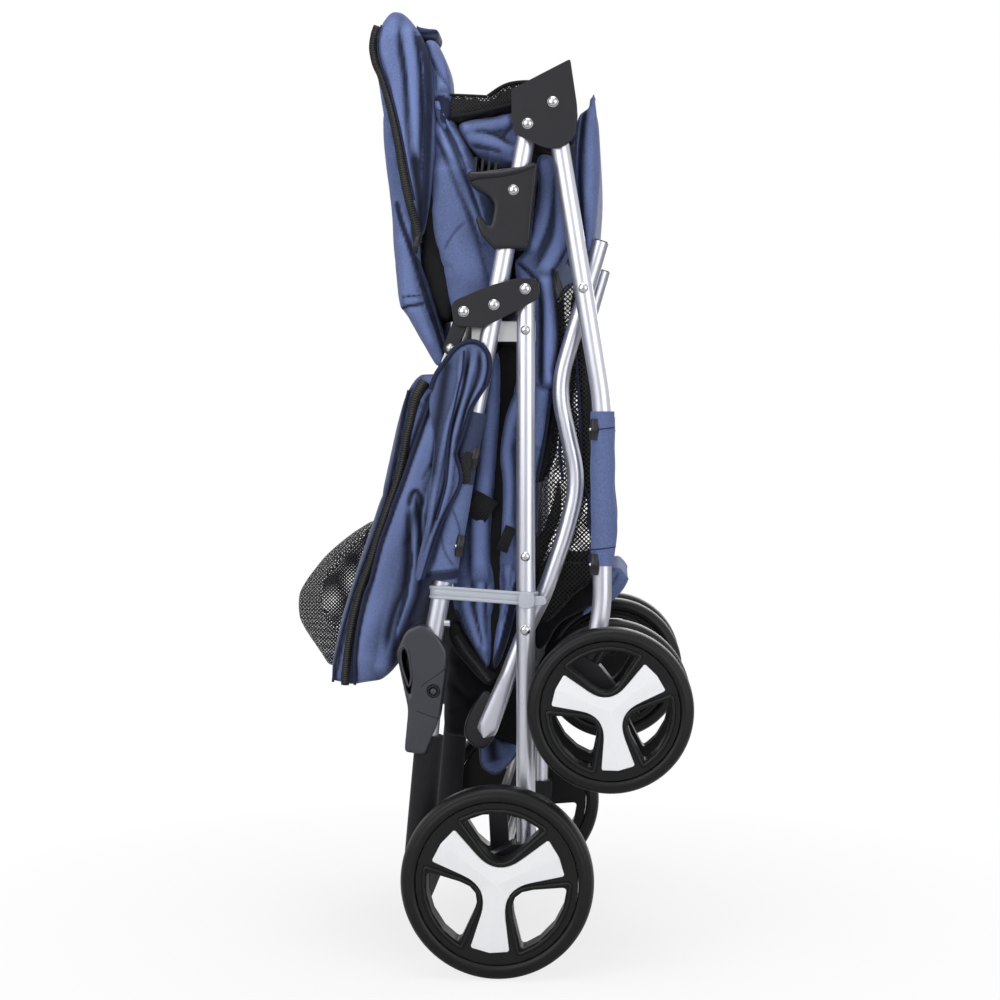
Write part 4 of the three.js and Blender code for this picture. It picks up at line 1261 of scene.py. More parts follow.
class STROLLER_OT_wheels(bpy.types.Operator):
    """Tyres, windowed rims with raised ribs, and ridged spoke covers"""

    bl_idname = "stroller.wheels"
    bl_label = "Wheels"

    def execute(self, context):
        """A wheel's facts are its body, hub, radius, width, plane, outward side and the turn of
        its first arm in degrees."""
        for side, sign in SIDES.items():
            rear = (f"rear_wheel_{side}", REAR_HUB, *REAR_WHEEL, sign * WHEEL_Y, sign, REAR_TURN)
            self.wheel(f"rear_{side}", rear, f"rear_tyre_{side}", f"rear_rim_{side}",
                       f"rear_spoke_cover_{side}")
            body = f"front_wheels_{side}"
            outer = (body, FRONT_HUB, *FRONT_WHEEL, sign * WHEEL_Y, sign, FRONT_TURN)
            self.wheel(f"front_outer_{side}", outer, f"front_tyre_outer_{side}",
                       f"front_rim_outer_{side}", f"front_spoke_cover_{side}")
            inner = (body, FRONT_HUB, *FRONT_WHEEL, sign * INNER_WHEEL_Y, -sign, FRONT_TURN)
            self.wheel(f"front_inner_{side}", inner, f"front_tyre_inner_{side}",
                       f"front_rim_inner_{side}", None)
        return {"FINISHED"}

    def wheel(self, name, facts, tyre, rim, cover):
        """A turned tyre, the rim with a raised edge round each of its three windows, and the
        white cover on an outer wheel."""
        body, hub, radius, width, y, outward, first = facts
        f = finishes()
        piece = lathe(f"tyre_{name}", self.tyre_profile(radius, width), hub, y, f["rubber"], body,
                      128, 60)
        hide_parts(tyre)
        dressed(rim, f["rim"], 0.8, 2)
        face = y + outward * 0.4 * width
        for k in range(3):
            middle = math.radians(first + 60 + 120 * k)
            loop = self.window(radius, middle, 0.028)
            path = in_plane(hub + loop, face + outward * 0.6)
            swept(f"window_rib_{k}_{name}", path, ring(2.0, 10), f["rim"], body, closed=True)
        if cover:
            piece = self.cover(f"spoke_cover_{name}", hub, radius, face, outward,
                               math.radians(first), body)
            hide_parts(cover)

    @staticmethod
    def tyre_profile(radius, width):
        """[radius, offset] of the tyre's section: bead, a stepped sidewall and a round tread."""
        half, seat = width / 2, 0.84 * radius
        t = np.linspace(0.96, -0.96, 11)
        tread = np.stack([radius - 0.045 * radius * np.abs(t) ** 3.2, half * 0.93 * t], -1)
        wall = np.array([[seat, 0.80], [seat + 0.01 * radius, 0.93], [seat + 0.045 * radius, 1.0],
                         [seat + 0.075 * radius, 0.98], [seat + 0.085 * radius, 0.94],
                         [seat + 0.10 * radius, 0.955]])
        wall[:, 1] *= half
        return np.vstack([wall, tread, wall[::-1] * [1, -1]])

    @staticmethod
    def reach(apex, half_angle, circle):
        """Angle from the middle line where an edge from the apex meets a circle."""
        lean = apex * math.sin(half_angle)
        along = -apex * math.cos(half_angle) + math.sqrt(circle ** 2 - lean ** 2)
        return math.asin(along * math.sin(half_angle) / circle)

    def window(self, radius, middle, grow):
        """Outline of a rim window about the hub: an apex, two straight edges and an arc."""
        apex, half_angle, circle = 0.133 - grow, math.radians(40.6), 0.727 + grow
        spread = self.reach(apex, half_angle, circle) + grow
        corners = [polar(apex, middle)]
        shares = (-1, -0.92, -0.6, -0.3, 0, 0.3, 0.6, 0.92, 1)
        corners += [polar(circle, middle + spread * share) for share in shares]
        loop = np.array(corners) * radius
        tight = np.vstack([loop[-1:], loop, loop[:1]])
        apex_round = bent([tight[0], tight[1], tight[2]], 0.27 * radius, 10)[1:-1]
        first = bent([tight[1], tight[2], tight[3]], 0.05 * radius, 5)[1:-1]
        last = bent([tight[-3], tight[-2], tight[1]], 0.05 * radius, 5)[1:-1]
        path = np.vstack([apex_round, first, tight[3:-2], last])
        return evened(np.vstack([path, path[:1]]), 96, False)

    def cover(self, name, hub, radius, face, outward, first, body):
        """The white cover: a radial grid from the centre to the outline, raised as three roofs
        that meet, height = top - slope x distance to the nearest arm's middle line."""
        loop = self.cover_outline(radius, first)
        share = np.r_[0.02, np.linspace(0.1, 1, 22)][:, None, None]
        flat = loop[None] * share
        gaps = []
        for a in first + np.arange(3) * TAU / 3:
            behind = flat @ [math.cos(a), math.sin(a)] < 0
            gaps.append(np.abs(flat @ [-math.sin(a), math.cos(a)]) + 1e3 * behind)
        gap = np.minimum.reduce(gaps)
        height = 4.1 - 0.115 * gap
        height[-1] -= 0.5
        side = np.stack([loop * 1.0, loop * 1.0], 0)
        flat = np.vstack([flat, side])
        height = np.vstack([height, height[-1:] - 1.6, np.full((1, len(loop)), 0.35)])
        points = np.stack([hub[0] + flat[..., 0], face + outward * height, hub[1] + flat[..., 1]],
                          -1)
        faces = capped_faces(*points.shape[:2])
        return make(name, points, faces, finishes()["cover"], body, soft_angle=24)

    def cover_outline(self, radius, first):
        """Outline of the cover about the hub: three arms that end on an arc, with a rounded
        notch between each two of them."""
        apex, half_angle, circle = 0.069, math.radians(47.6), 0.705
        spread = math.pi / 3 - self.reach(apex, half_angle, circle)
        corners, setback = [], []
        for k in range(3):
            arm = first + k * TAU / 3
            corners += [polar(circle, arm - spread), polar(circle, arm),
                        polar(circle, arm + spread), polar(apex, arm + math.pi / 3)]
            setback += [0.02, 0.02, 0.02, 0.34]
        loop = np.array(corners) * radius
        runs = [bent([loop[k - 1], loop[k], loop[(k + 1) % len(loop)]], setback[k] * radius,
                     8)[1:-1]
                for k in range(len(loop))]
        return evened(np.vstack(runs + [runs[0][:1]]), 180, False)


class STROLLER_OT_hood(bpy.types.Operator):
    """Folded hood with its rim panel, zip, piping, side lobe and flap"""

    bl_idname = "stroller.hood"
    bl_label = "Hood"

    def execute(self, context):
        self.shell(finishes())
        self.rim_panel(finishes())
        self.lobe(finishes())
        return {"FINISHED"}

    @staticmethod
    def shell(f):
        """The rolled hood: two long ridges with a valley between them, a bound hem, and a deep
        crease low down with painted shadow in it. A zip, a cord and a row of stitches are sewn on."""
        outline = link(
            [-144, 247], [-140, 257], [-133, 266], [-127, 269], [-119, 267], [-110, 259],
            [-105, 250], [-97, 240], [-90, 216], [-88, 180], [-89, 144], [-91, 110], [-96, 80],
            [-100, 50], [-103, 36], [-108, 50], [-115, 76], [-123, 105], [-131, 140], [-138, 180],
            [-142, 206], [-147, 222], [-148, 234])
        left_ridge = link(
            [-127, 262], [-131, 231], [-126, 199], [-121, 170], [-116, 144], [-110, 115],
            [-106, 93], [-103, 70])
        right_ridge = link(
            [-116, 258], [-110, 227], [-106, 199], [-105, 170], [-105, 144], [-102, 115])
        hem = link(
            [-101, 240], [-95, 216], [-93, 184], [-94, 151], [-95, 122], [-97, 93], [-100, 60])
        middle_valley = link(
            [-121, 240], [-117, 222], [-115, 205], [-114, 182], [-113, 158], [-110, 129],
            [-105, 100])
        hem_valley = link([-107, 246], [-102, 224], [-99.5, 187], [-99.5, 151], [-101, 115])
        # painted shadow in the deep crease low down
        shaded_gap = link([-107, 132], [-103.5, 105], [-101, 80], [-100, 55], [-101, 42])
        piece = roll(
            "hood_shell", outline, 154, f["cloth"], "handle", stands_for=["hood"],
            rolls=[(left_ridge, 10, 7), (right_ridge, 7, 6), (hem, 5.5, 5)],
            creases=[(middle_valley, 1.8, 2.0, 0.45), (hem_valley, 1.8, 3.0, 0.7),
                     (shaded_gap, 4.0, 5.0, 1.0)],
            bands=[(hem, 3.6)], waves=[(8, 19, 0.6)])
        chain = link(
            [-141, 251], [-144, 243], [-146, 231], [-143, 216], [-138, 205], [-132, 187],
            [-126, 164], [-121, 140], [-117, 115], [-112, 89], [-106, 66], [-103, 48])
        zipped("hood_zip", piece, chain, "handle", 8)
        cord = link([-137, 251], [-140, 240], [-140, 226], [-137, 213], [-132, 200], [-127, 183],
                    [-121, 160], [-116, 137], [-111, 110], [-106, 86])
        piped("hood_zip_cord", piece, cord, "handle", 1.0)
        stitched("hood_stitch", piece, link([-98, 205], [-97, 173], [-97, 144], [-99, 115]),
                 "handle")
        puller = in_plane(link([-103, 52], [-105, 44], [-106, 36]), 0)
        for side, sign in SIDES.items():
            swept(f"hood_zip_pull_{side}", puller + [0, sign * 156.5, 0], ring(1, 12) * [2.4, 1.1],
                  f["plastic"], "handle")

    @staticmethod
    def rim_panel(f):
        """The long panel below the hood, which laps over the side panel along its corded edge,
        and a black sheet in the gap behind it that stands in for the shade there."""
        outline = link(
            [-141, 208], [-139, 182], [-137, 152], [-134, 123], [-130, 94], [-128, 72], [-127, 49],
            [-125, 23], [-123, -2], [-122, -16], [-114, -21], [-102, -42], [-91, -61], [-88, -73],
            [-79, -71], [-75, -62], [-82, -40], [-90, -19], [-97, 3], [-104, 29], [-106, 50],
            [-112, 80], [-118, 110], [-125, 145], [-131, 180], [-136, 204])
        edge = link([-124, 84], [-120, 68], [-113, 49], [-106, 29], [-99, 3], [-92, -19],
                    [-84, -40], [-77, -63])
        tab_top = link([-119, -5], [-112, -4], [-101, -3])
        tab_foot = link([-120, -15], [-112, -13], [-99, -11])
        piece = roll(
            "hood_rim_panel", outline, 150, f["cloth"], "handle",
            rolls=[(link([-121, 60], [-117, 30], [-112, 0], [-102, -30], [-90, -58]), 8, 3.0)],
            creases=[(edge, 1.6, 2.5, 0.7), (tab_foot, 1.0, 1.2, 0.6), (tab_top, 0.9, 0.8, 0.5)],
            laps=[(edge, 2.4, 9)], bands=[(edge, 2.6), (tab_foot, 1.4)], waves=[(15, 26, 0.7)])
        piped("hood_rim_cord", piece,
              link([-104, 31], [-97, 12], [-90, -11], [-83, -34], [-76, -56]), "handle", 1.5)
        stitched("hood_tab_stitch", piece, tab_top, "handle")
        # painted shade: a black sheet fills the gap where there is only shade
        gap = link(
            [-112, 145], [-105, 116], [-101, 87], [-99, 49], [-103, 30], [-99, 5], [-92, -14],
            [-84, -27], [-72, -28], [-66, 0], [-72, 30], [-80, 70], [-84, 110], [-92, 130])
        roll("hood_gap_lining", gap, 142, f["black_cloth"], "handle")

    @staticmethod
    def lobe(f):
        """A lobe of cloth and a small flap in the shaded copy of the cloth, which is painted shade,
        on the right side only.
        """
        outline = link([-101, 240], [-91, 243], [-85, 239], [-79, 227], [-73, 212], [-71, 193],
                       [-71, 164], [-79, 150], [-88, 165], [-92, 189], [-94, 218])
        one_side = {"near": 96, "sign": -1}
        roll("hood_lobe", outline, 149, f["cloth"], "handle", **one_side,
             rolls=[(link([-88, 240], [-82, 222], [-78, 205], [-78, 190]), 8, 4)],
             creases=[(link([-92, 222], [-84, 208], [-75, 195]), 1.4, 1.5, 0.4)],
             laps=[(link([-84, 186], [-75, 190], [-70, 194]), 1.5, 6)],
             bands=[(link([-82, 180], [-77, 176], [-76, 166]), 7)])
        flap = link([-111, 257], [-97, 254], [-84, 254], [-82, 247], [-83, 237], [-91, 240],
                    [-100, 240], [-107, 246])
        # painted shade: the flap is in the shaded copy of the cloth
        roll("hood_flap", flap, 141, f["dark_cloth"], "handle", rounding=3, **one_side,
             creases=[(link([-106, 246], [-95, 247], [-83, 248]), 1.5, 2.0, 0.8)])


class STROLLER_OT_cabin(bpy.types.Operator):
    """Side panels, rolled edge, top net and the front cloth of the cabin"""

    bl_idname = "stroller.cabin"
    bl_label = "Cabin"

    def execute(self, context):
        self.side(finishes())
        self.top(finishes())
        self.front(finishes())
        return {"FINISHED"}

    @staticmethod
    def side(f):
        """The side panel, gathered along two rope-like folds, and the soft pad above it."""
        outline = link(
            [-90, 192], [-83, 184], [-71, 163], [-60, 145], [-52, 126], [-44, 105], [-36, 84],
            [-28, 60], [-20, 40], [-16, 12], [-28, -9], [-54, -26], [-70, -30], [-76, -14],
            [-82, 10], [-89, 40], [-94, 70], [-93, 110], [-91, 143], [-91, 170])
        rope = link([-90, 190], [-84, 179], [-73, 162], [-63, 144], [-56, 127], [-50, 108],
                    [-43, 86], [-35, 60], [-30, 44])
        second = link([-88, 164], [-76, 139], [-66, 116], [-56, 91], [-47, 72], [-40, 52])
        roll("side_panel", outline, 144, f["cloth"], "handle",
             rolls=[(rope, 5.5, 7.5), (second, 5.5, 4.5),
                    (link([-84, 130], [-80, 90], [-74, 50], [-64, 10], [-56, -18]), 26, 6.5)],
             creases=[(link([-90, 174], [-79, 155], [-69, 133], [-60, 112], [-51, 90], [-42, 66]),
                       1.5, 1.6, 0.4),
                      (link([-88, 150], [-78, 128], [-68, 104], [-58, 80], [-50, 60]), 2.2, 1.5,
                       0.35), (link([-59, 66], [-70, 54], [-79, 40]), 1.2, 1.2, 0.35)],
             waves=[(60, 46, 0.6)])
        pad = link([-70, 162], [-56, 167], [-35, 170], [-14, 174], [-4, 173], [0, 150], [-4, 126],
                   [-12, 119], [-33, 126], [-50, 132], [-61, 145])
        roll("upper_pad", pad, 141.5, f["cloth"], "handle", cap=4, stands_for=["cabin_front"],
             rolls=[(link([-64, 157], [-40, 160], [-14, 165]), 9, 5.5),
                    (link([-62, 148], [-49, 148], [-34, 143], [-21, 135], [-10, 130]), 7, 4.5),
                    (link([-38, 131], [-24, 129], [-10, 124]), 5, 3.5)],
             creases=[(link([-50, 153], [-38, 152], [-26, 147], [-16, 141]), 1.6, 1.5, 0.3),
                      (link([-24, 146], [-19, 153], [-13, 160]), 1.5, 1.6, 0.35),
                      (link([-52, 139], [-38, 137], [-24, 133]), 1.6, 1.6, 0.45)])

    @staticmethod
    def top(f):
        """Dense net over a dark lining, with three beaded edges."""
        net = link([-73, 188], [-54, 187], [-36, 186], [-25, 194], [-14, 198], [2, 199], [9, 198],
                   [10, 180], [-8, 174], [-36, 169], [-56, 165], [-73, 163])
        roll("top_net", net, 146, f["dense_net"], "handle", cap=2, shrink=0.5, rounding=3)
        roll("top_lining", net, 138, f["black_cloth"], "handle", cap=1, shrink=3, rounding=3)
        beads = {"top_bead": (link([-37, 185], [-25, 193], [-14, 197], [2, 198], [12, 195]), 2.0),
                 "top_bead_low": (link([-73, 166], [-56, 168], [-36, 172], [-14, 177], [2, 181]),
                                  2.2),
                 "top_bead_back": (link([-73, 187], [-54, 186], [-38, 185]), 1.3)}
        for name, (line, radius) in beads.items():
            corded(name, line, 147.5, radius, f["black_cloth"], "handle", 30, 10)

    @staticmethod
    def front(f):
        """A black sheet that stands in for the shade behind the gathered folds, the folds in front
        of it, and the loose panel on the front leg."""
        backing = link([-12, 140], [14, 142], [42, 120], [46, 70], [42, 34], [28, 20], [26, -20],
                       [27, -60], [24, -92], [-6, -92], [-10, 20])
        # painted shade: a black sheet behind the folds where there is only shade
        roll("front_lining", backing, 138, f["black_cloth"], "handle", shrink=3)
        outline = link(
            [6, 128], [14, 134], [26, 130], [32, 110], [36, 87], [41, 60], [42, 44], [39, 31],
            [28, 22], [25, 8], [28, -16], [30, -45], [28, -74], [26, -94], [12, -92], [2, -84],
            [0, -40], [-4, -9], [-10, 8], [-14, 30], [-4, 39], [2, 62], [8, 90])
        valley = link([-15, 32], [-4, 24], [6, 14], [12, 4], [14, -30], [13, -88])
        roll("front_folds", outline, 145, f["cloth"], "handle",
             rolls=[(link([16, 132], [18, 104], [15, 80], [9, 58], [0, 38]), 9, 7),
                    (link([30, 112], [34, 75], [32, 52], [24, 34], [14, 16]), 8, 6),
                    (link([17, 20], [19, 0], [21, -30], [21, -66], [22, -92]), 7, 6)],
             # painted shadow in the valley and the fold creases
             creases=[(valley, 1.8, 3.5, 0.7),
                      (link([26, 108], [25, 75], [20, 48]), 1.4, 1.0, 0.25),
                      (link([40, 46], [32, 30], [25, 22]), 1.2, 1.5, 0.4)],
             bands=[(link([25, 20], [28, -10], [31, -45], [29, -72]), 2.6)])
        panel = link(
            [45, 168], [55, 176], [66, 190], [68, 176], [70, 150], [71, 120], [70, 96], [68, 70],
            [66, 48], [62, 26], [58, 12], [51, 36], [47, 60], [44, 90], [42, 130])
        fold = link([57, 178], [53, 160], [50, 130], [50, 100], [53, 60], [56, 28])
        piece = roll(
            "front_panel_cloth", panel, 146, f["cloth"], "front_frame", cap=3, rounding=4,
            shrink=4.5, stands_for=["front_panel"],
            rolls=[(link([65, 182], [62, 150], [61, 110], [61, 70], [60, 30]), 8, 4)],
            # painted shadow along the panel's fold
            creases=[(fold, 1.8, 3.0, 0.8)], laps=[(fold, 2.0, -7)], bands=[(fold, 1.6)])
        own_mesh(piece)


class STROLLER_OT_windows(bpy.types.Operator):
    """See-through net of the cabin and the folded cabin floor behind the rear leg"""

    bl_idname = "stroller.windows"
    bl_label = "Windows"

    def execute(self, context):
        self.net(finishes())
        self.floor_cloth(finishes())
        self.straps(finishes())
        return {"FINISHED"}

    @staticmethod
    def net(f):
        """The net and the black sheets behind it that stand in for the shade there, a strip of
        cloth at its back edge, and the hems that cross it."""
        window = floor(
            [24, 300], [34, 326], [46, 332], [56, 318], [60, 290], [61, 216], [64, 168], [66, 120],
            [66, 50], [44, 30], [16, 0], [8, 10], [9, 63], [13, 139], [22, 187], [30, 235])
        roll("window_net", window, 137, f["net"], "floor_frame", cap=2, shrink=1, rounding=3,
             stands_for=["cabin_window"], fill=0.1)
        # painted shade: black sheets behind the net where there is only shade
        shade_sheets = {
            "right": (134, floor([47, 330], [58, 318], [61, 290], [62, 216], [65, 168], [67, 120],
                                 [67, 58], [60, 62], [61, 84], [57, 102], [57.5, 119], [52, 140],
                                 [50, 166], [49, 210], [45, 262], [40, 300])),
            "left": (134, floor([22, 232], [26, 290], [33, 318], [36, 290], [33, 250], [31, 220],
                                [29, 172], [25, 158], [18, 143], [8, 138], [13, 165], [19, 200])),
            "middle": (134, floor([32, 156], [33, 115], [29, 98], [18, 71], [9, 45], [5, 62],
                                  [6, 84], [11, 86], [19, 104], [25, 122], [30, 145])),
            "low": (104, floor([20, 64], [32, 62], [46, 61], [57, 62], [67, 64], [72, 40], [66, 20],
                               [53, 11], [31, -2], [17, -22], [5, -24], [4, 40])),
        }
        for name, (half, outline) in shade_sheets.items():
            for side, sign in SIDES.items():
                if side == "right" or name in ("right", "low"):
                    roll(f"window_lining_{name}_{side}", outline, half, f["black_cloth"],
                         "floor_frame", cap=1, shrink=0, rounding=3, near=half - 12, sign=sign)
        strip = floor([0, 240], [8, 238], [20, 233], [25, 229], [22, 210], [18, 184], [14, 163],
                      [9, 140], [2, 150], [-2, 200])
        roll("window_strip", strip, 140, f["cloth"], "floor_frame", cap=3, shrink=1, rounding=4,
             rolls=[(floor([14, 230], [12, 205], [9, 170]), 8, 4)],
             creases=[(floor([4, 238], [12, 235], [24, 229]), 1.0, 1.5, 0.6)])
        hems = {"window_hem": floor([27, 250], [24, 228], [20, 200], [15, 168], [9, 138]),
                "window_edge": floor([46, 262], [50, 210], [51, 166], [53, 140], [59, 119],
                                     [58, 102], [62, 84], [59, 62]),
                "window_seam": floor([38, 262], [36, 236], [34, 212], [31, 170], [34, 140])}
        for name, line in hems.items():
            corded(name, line, 138.5, 1.4, f["trim"], "floor_frame")

    @staticmethod
    def floor_cloth(f):
        """The folded cabin floor: two rolled lobes round a dark core, and a hem with a short
        zip at their foot."""
        core = floor([-38, 262], [-2, 262], [2, 180], [-2, 60], [-8, -4], [-30, -50], [-45, -36],
                     [-60, 6], [-55, 60], [-46, 120], [-40, 180])
        roll("floor_core", core, 130, f["black_cloth"], "floor_frame", cap=2, shrink=2, rounding=4)
        lobe = floor(
            [-34, 262], [-38, 235], [-41, 210], [-45, 178], [-47, 151], [-50, 132], [-60, 105],
            [-66, 71], [-71, 38], [-71, 18], [-62, -4], [-52, -20], [-43, -36], [-37, -46],
            [-35, -36], [-34, -18], [-33, 2], [-30, 31], [-31, 48], [-33, 64], [-35, 95],
            [-34, 122], [-32, 151], [-30, 181], [-28, 210], [-27, 262])
        left_hem = floor([-68, 12], [-61, -8], [-52, -24], [-44, -36], [-36, -46])
        roll("floor_lobe", lobe, 139, f["cloth"], "floor_frame", shrink=1.0,
             stands_for=["cabin_base"],
             rolls=[(floor([-32, 258], [-35, 210], [-38, 181], [-41, 151], [-43, 128], [-46, 100],
                           [-46, 71], [-45, 42]), 9, 7),
                    (floor([-60, 40], [-58, 18], [-52, 0], [-44, -22]), 5, 4),
                    (floor([-44, 46], [-45, 20], [-42, -4], [-39, -28]), 5, 5),
                    (floor([-35, 40], [-36, 10], [-37, -20]), 3.5, 4)],
             creases=[(floor([-53, 46], [-51, 20], [-47, 0], [-42, -20]), 1.3, 1.5, 0.5),
                      (floor([-39, 44], [-40, 14], [-39, -10]), 1.2, 1.5, 0.4)],
             bands=[(left_hem, 3.2)])
        second = floor(
            [-9, 246], [-12, 229], [-19, 210], [-24, 188], [-26, 163], [-23, 137], [-22, 115],
            [-23, 97], [-25, 73], [-26, 60], [-24, 39], [-23, 30], [-30, 0], [-35, -26], [-37, -46],
            [-30, -40], [-22, -20], [-14, 12], [-8, 40], [-4, 80], [-2, 120], [0, 180], [0, 246])
        right_hem = floor([-10, 40], [-15, 20], [-19, 0], [-25, -21], [-34, -44])
        roll("floor_lobe_second", second, 138, f["cloth"], "floor_frame", shrink=1.0,
             rolls=[(floor([-8, 240], [-13, 213], [-18, 192], [-21, 166], [-18, 140], [-18, 114],
                           [-20, 96], [-20, 66]), 7, 6),
                    (floor([-18, 60], [-16, 38], [-22, 12], [-29, -20], [-35, -40]), 5, 5)],
             creases=[(floor([-12, 180], [-12, 140], [-13, 100]), 2.0, 2.0, 0.6),
                      (floor([-14, 60], [-18, 30], [-24, 4]), 1.3, 1.5, 0.5)],
             bands=[(right_hem, 3.4)])
        hem = floor([-74, 4], [-67, 4], [-60, -9], [-50, -24], [-37, -41], [-31, -52], [-36, -60],
                    [-48, -50], [-60, -36], [-70, -24], [-76, -10])
        piece = roll("floor_hem", hem, 136, f["black_cloth"], "floor_frame", cap=1, shrink=0,
                     rounding=3)
        zipped("floor_zip", piece,
               floor([-70, -10], [-66, -16], [-58, -28], [-48, -40], [-37, -54]), "floor_frame", 7)

    @staticmethod
    def straps(f):
        """A tape of webbing over each lobe, and a strap of cloth at the front leg."""
        tapes = (("floor_lobe", floor([-54, 119], [-46, 115], [-35, 108]), 13),
                 ("floor_lobe_second", floor([-25, 86], [-20, 84], [-15, 82]), 12.5))
        for cloth, line, half in tapes:
            for side, sign in SIDES.items():
                path = laid_on(bpy.data.objects[cloth], line, sign, count=14, lift=0.4)
                profile = [[-half, -2.5], [-half, 0.7], [half, 0.7], [half, -2.5]]
                swept(f"webbing_{cloth}_{side}", path, np.array(profile) * [1, sign], f["webbing"],
                      "floor_frame")
        strap = floor(
            [84, 56], [93, 49], [97, 43], [90, 31], [78, 20], [65, 16], [50, 4], [58, 18], [70, 38])
        roll("floor_strap", strap, 102, f["cloth"], "floor_frame", cap=1, shrink=0, rounding=2,
             creases=[(floor([88, 50], [78, 34], [62, 18]), 1.2, 1.2, 0.4)])


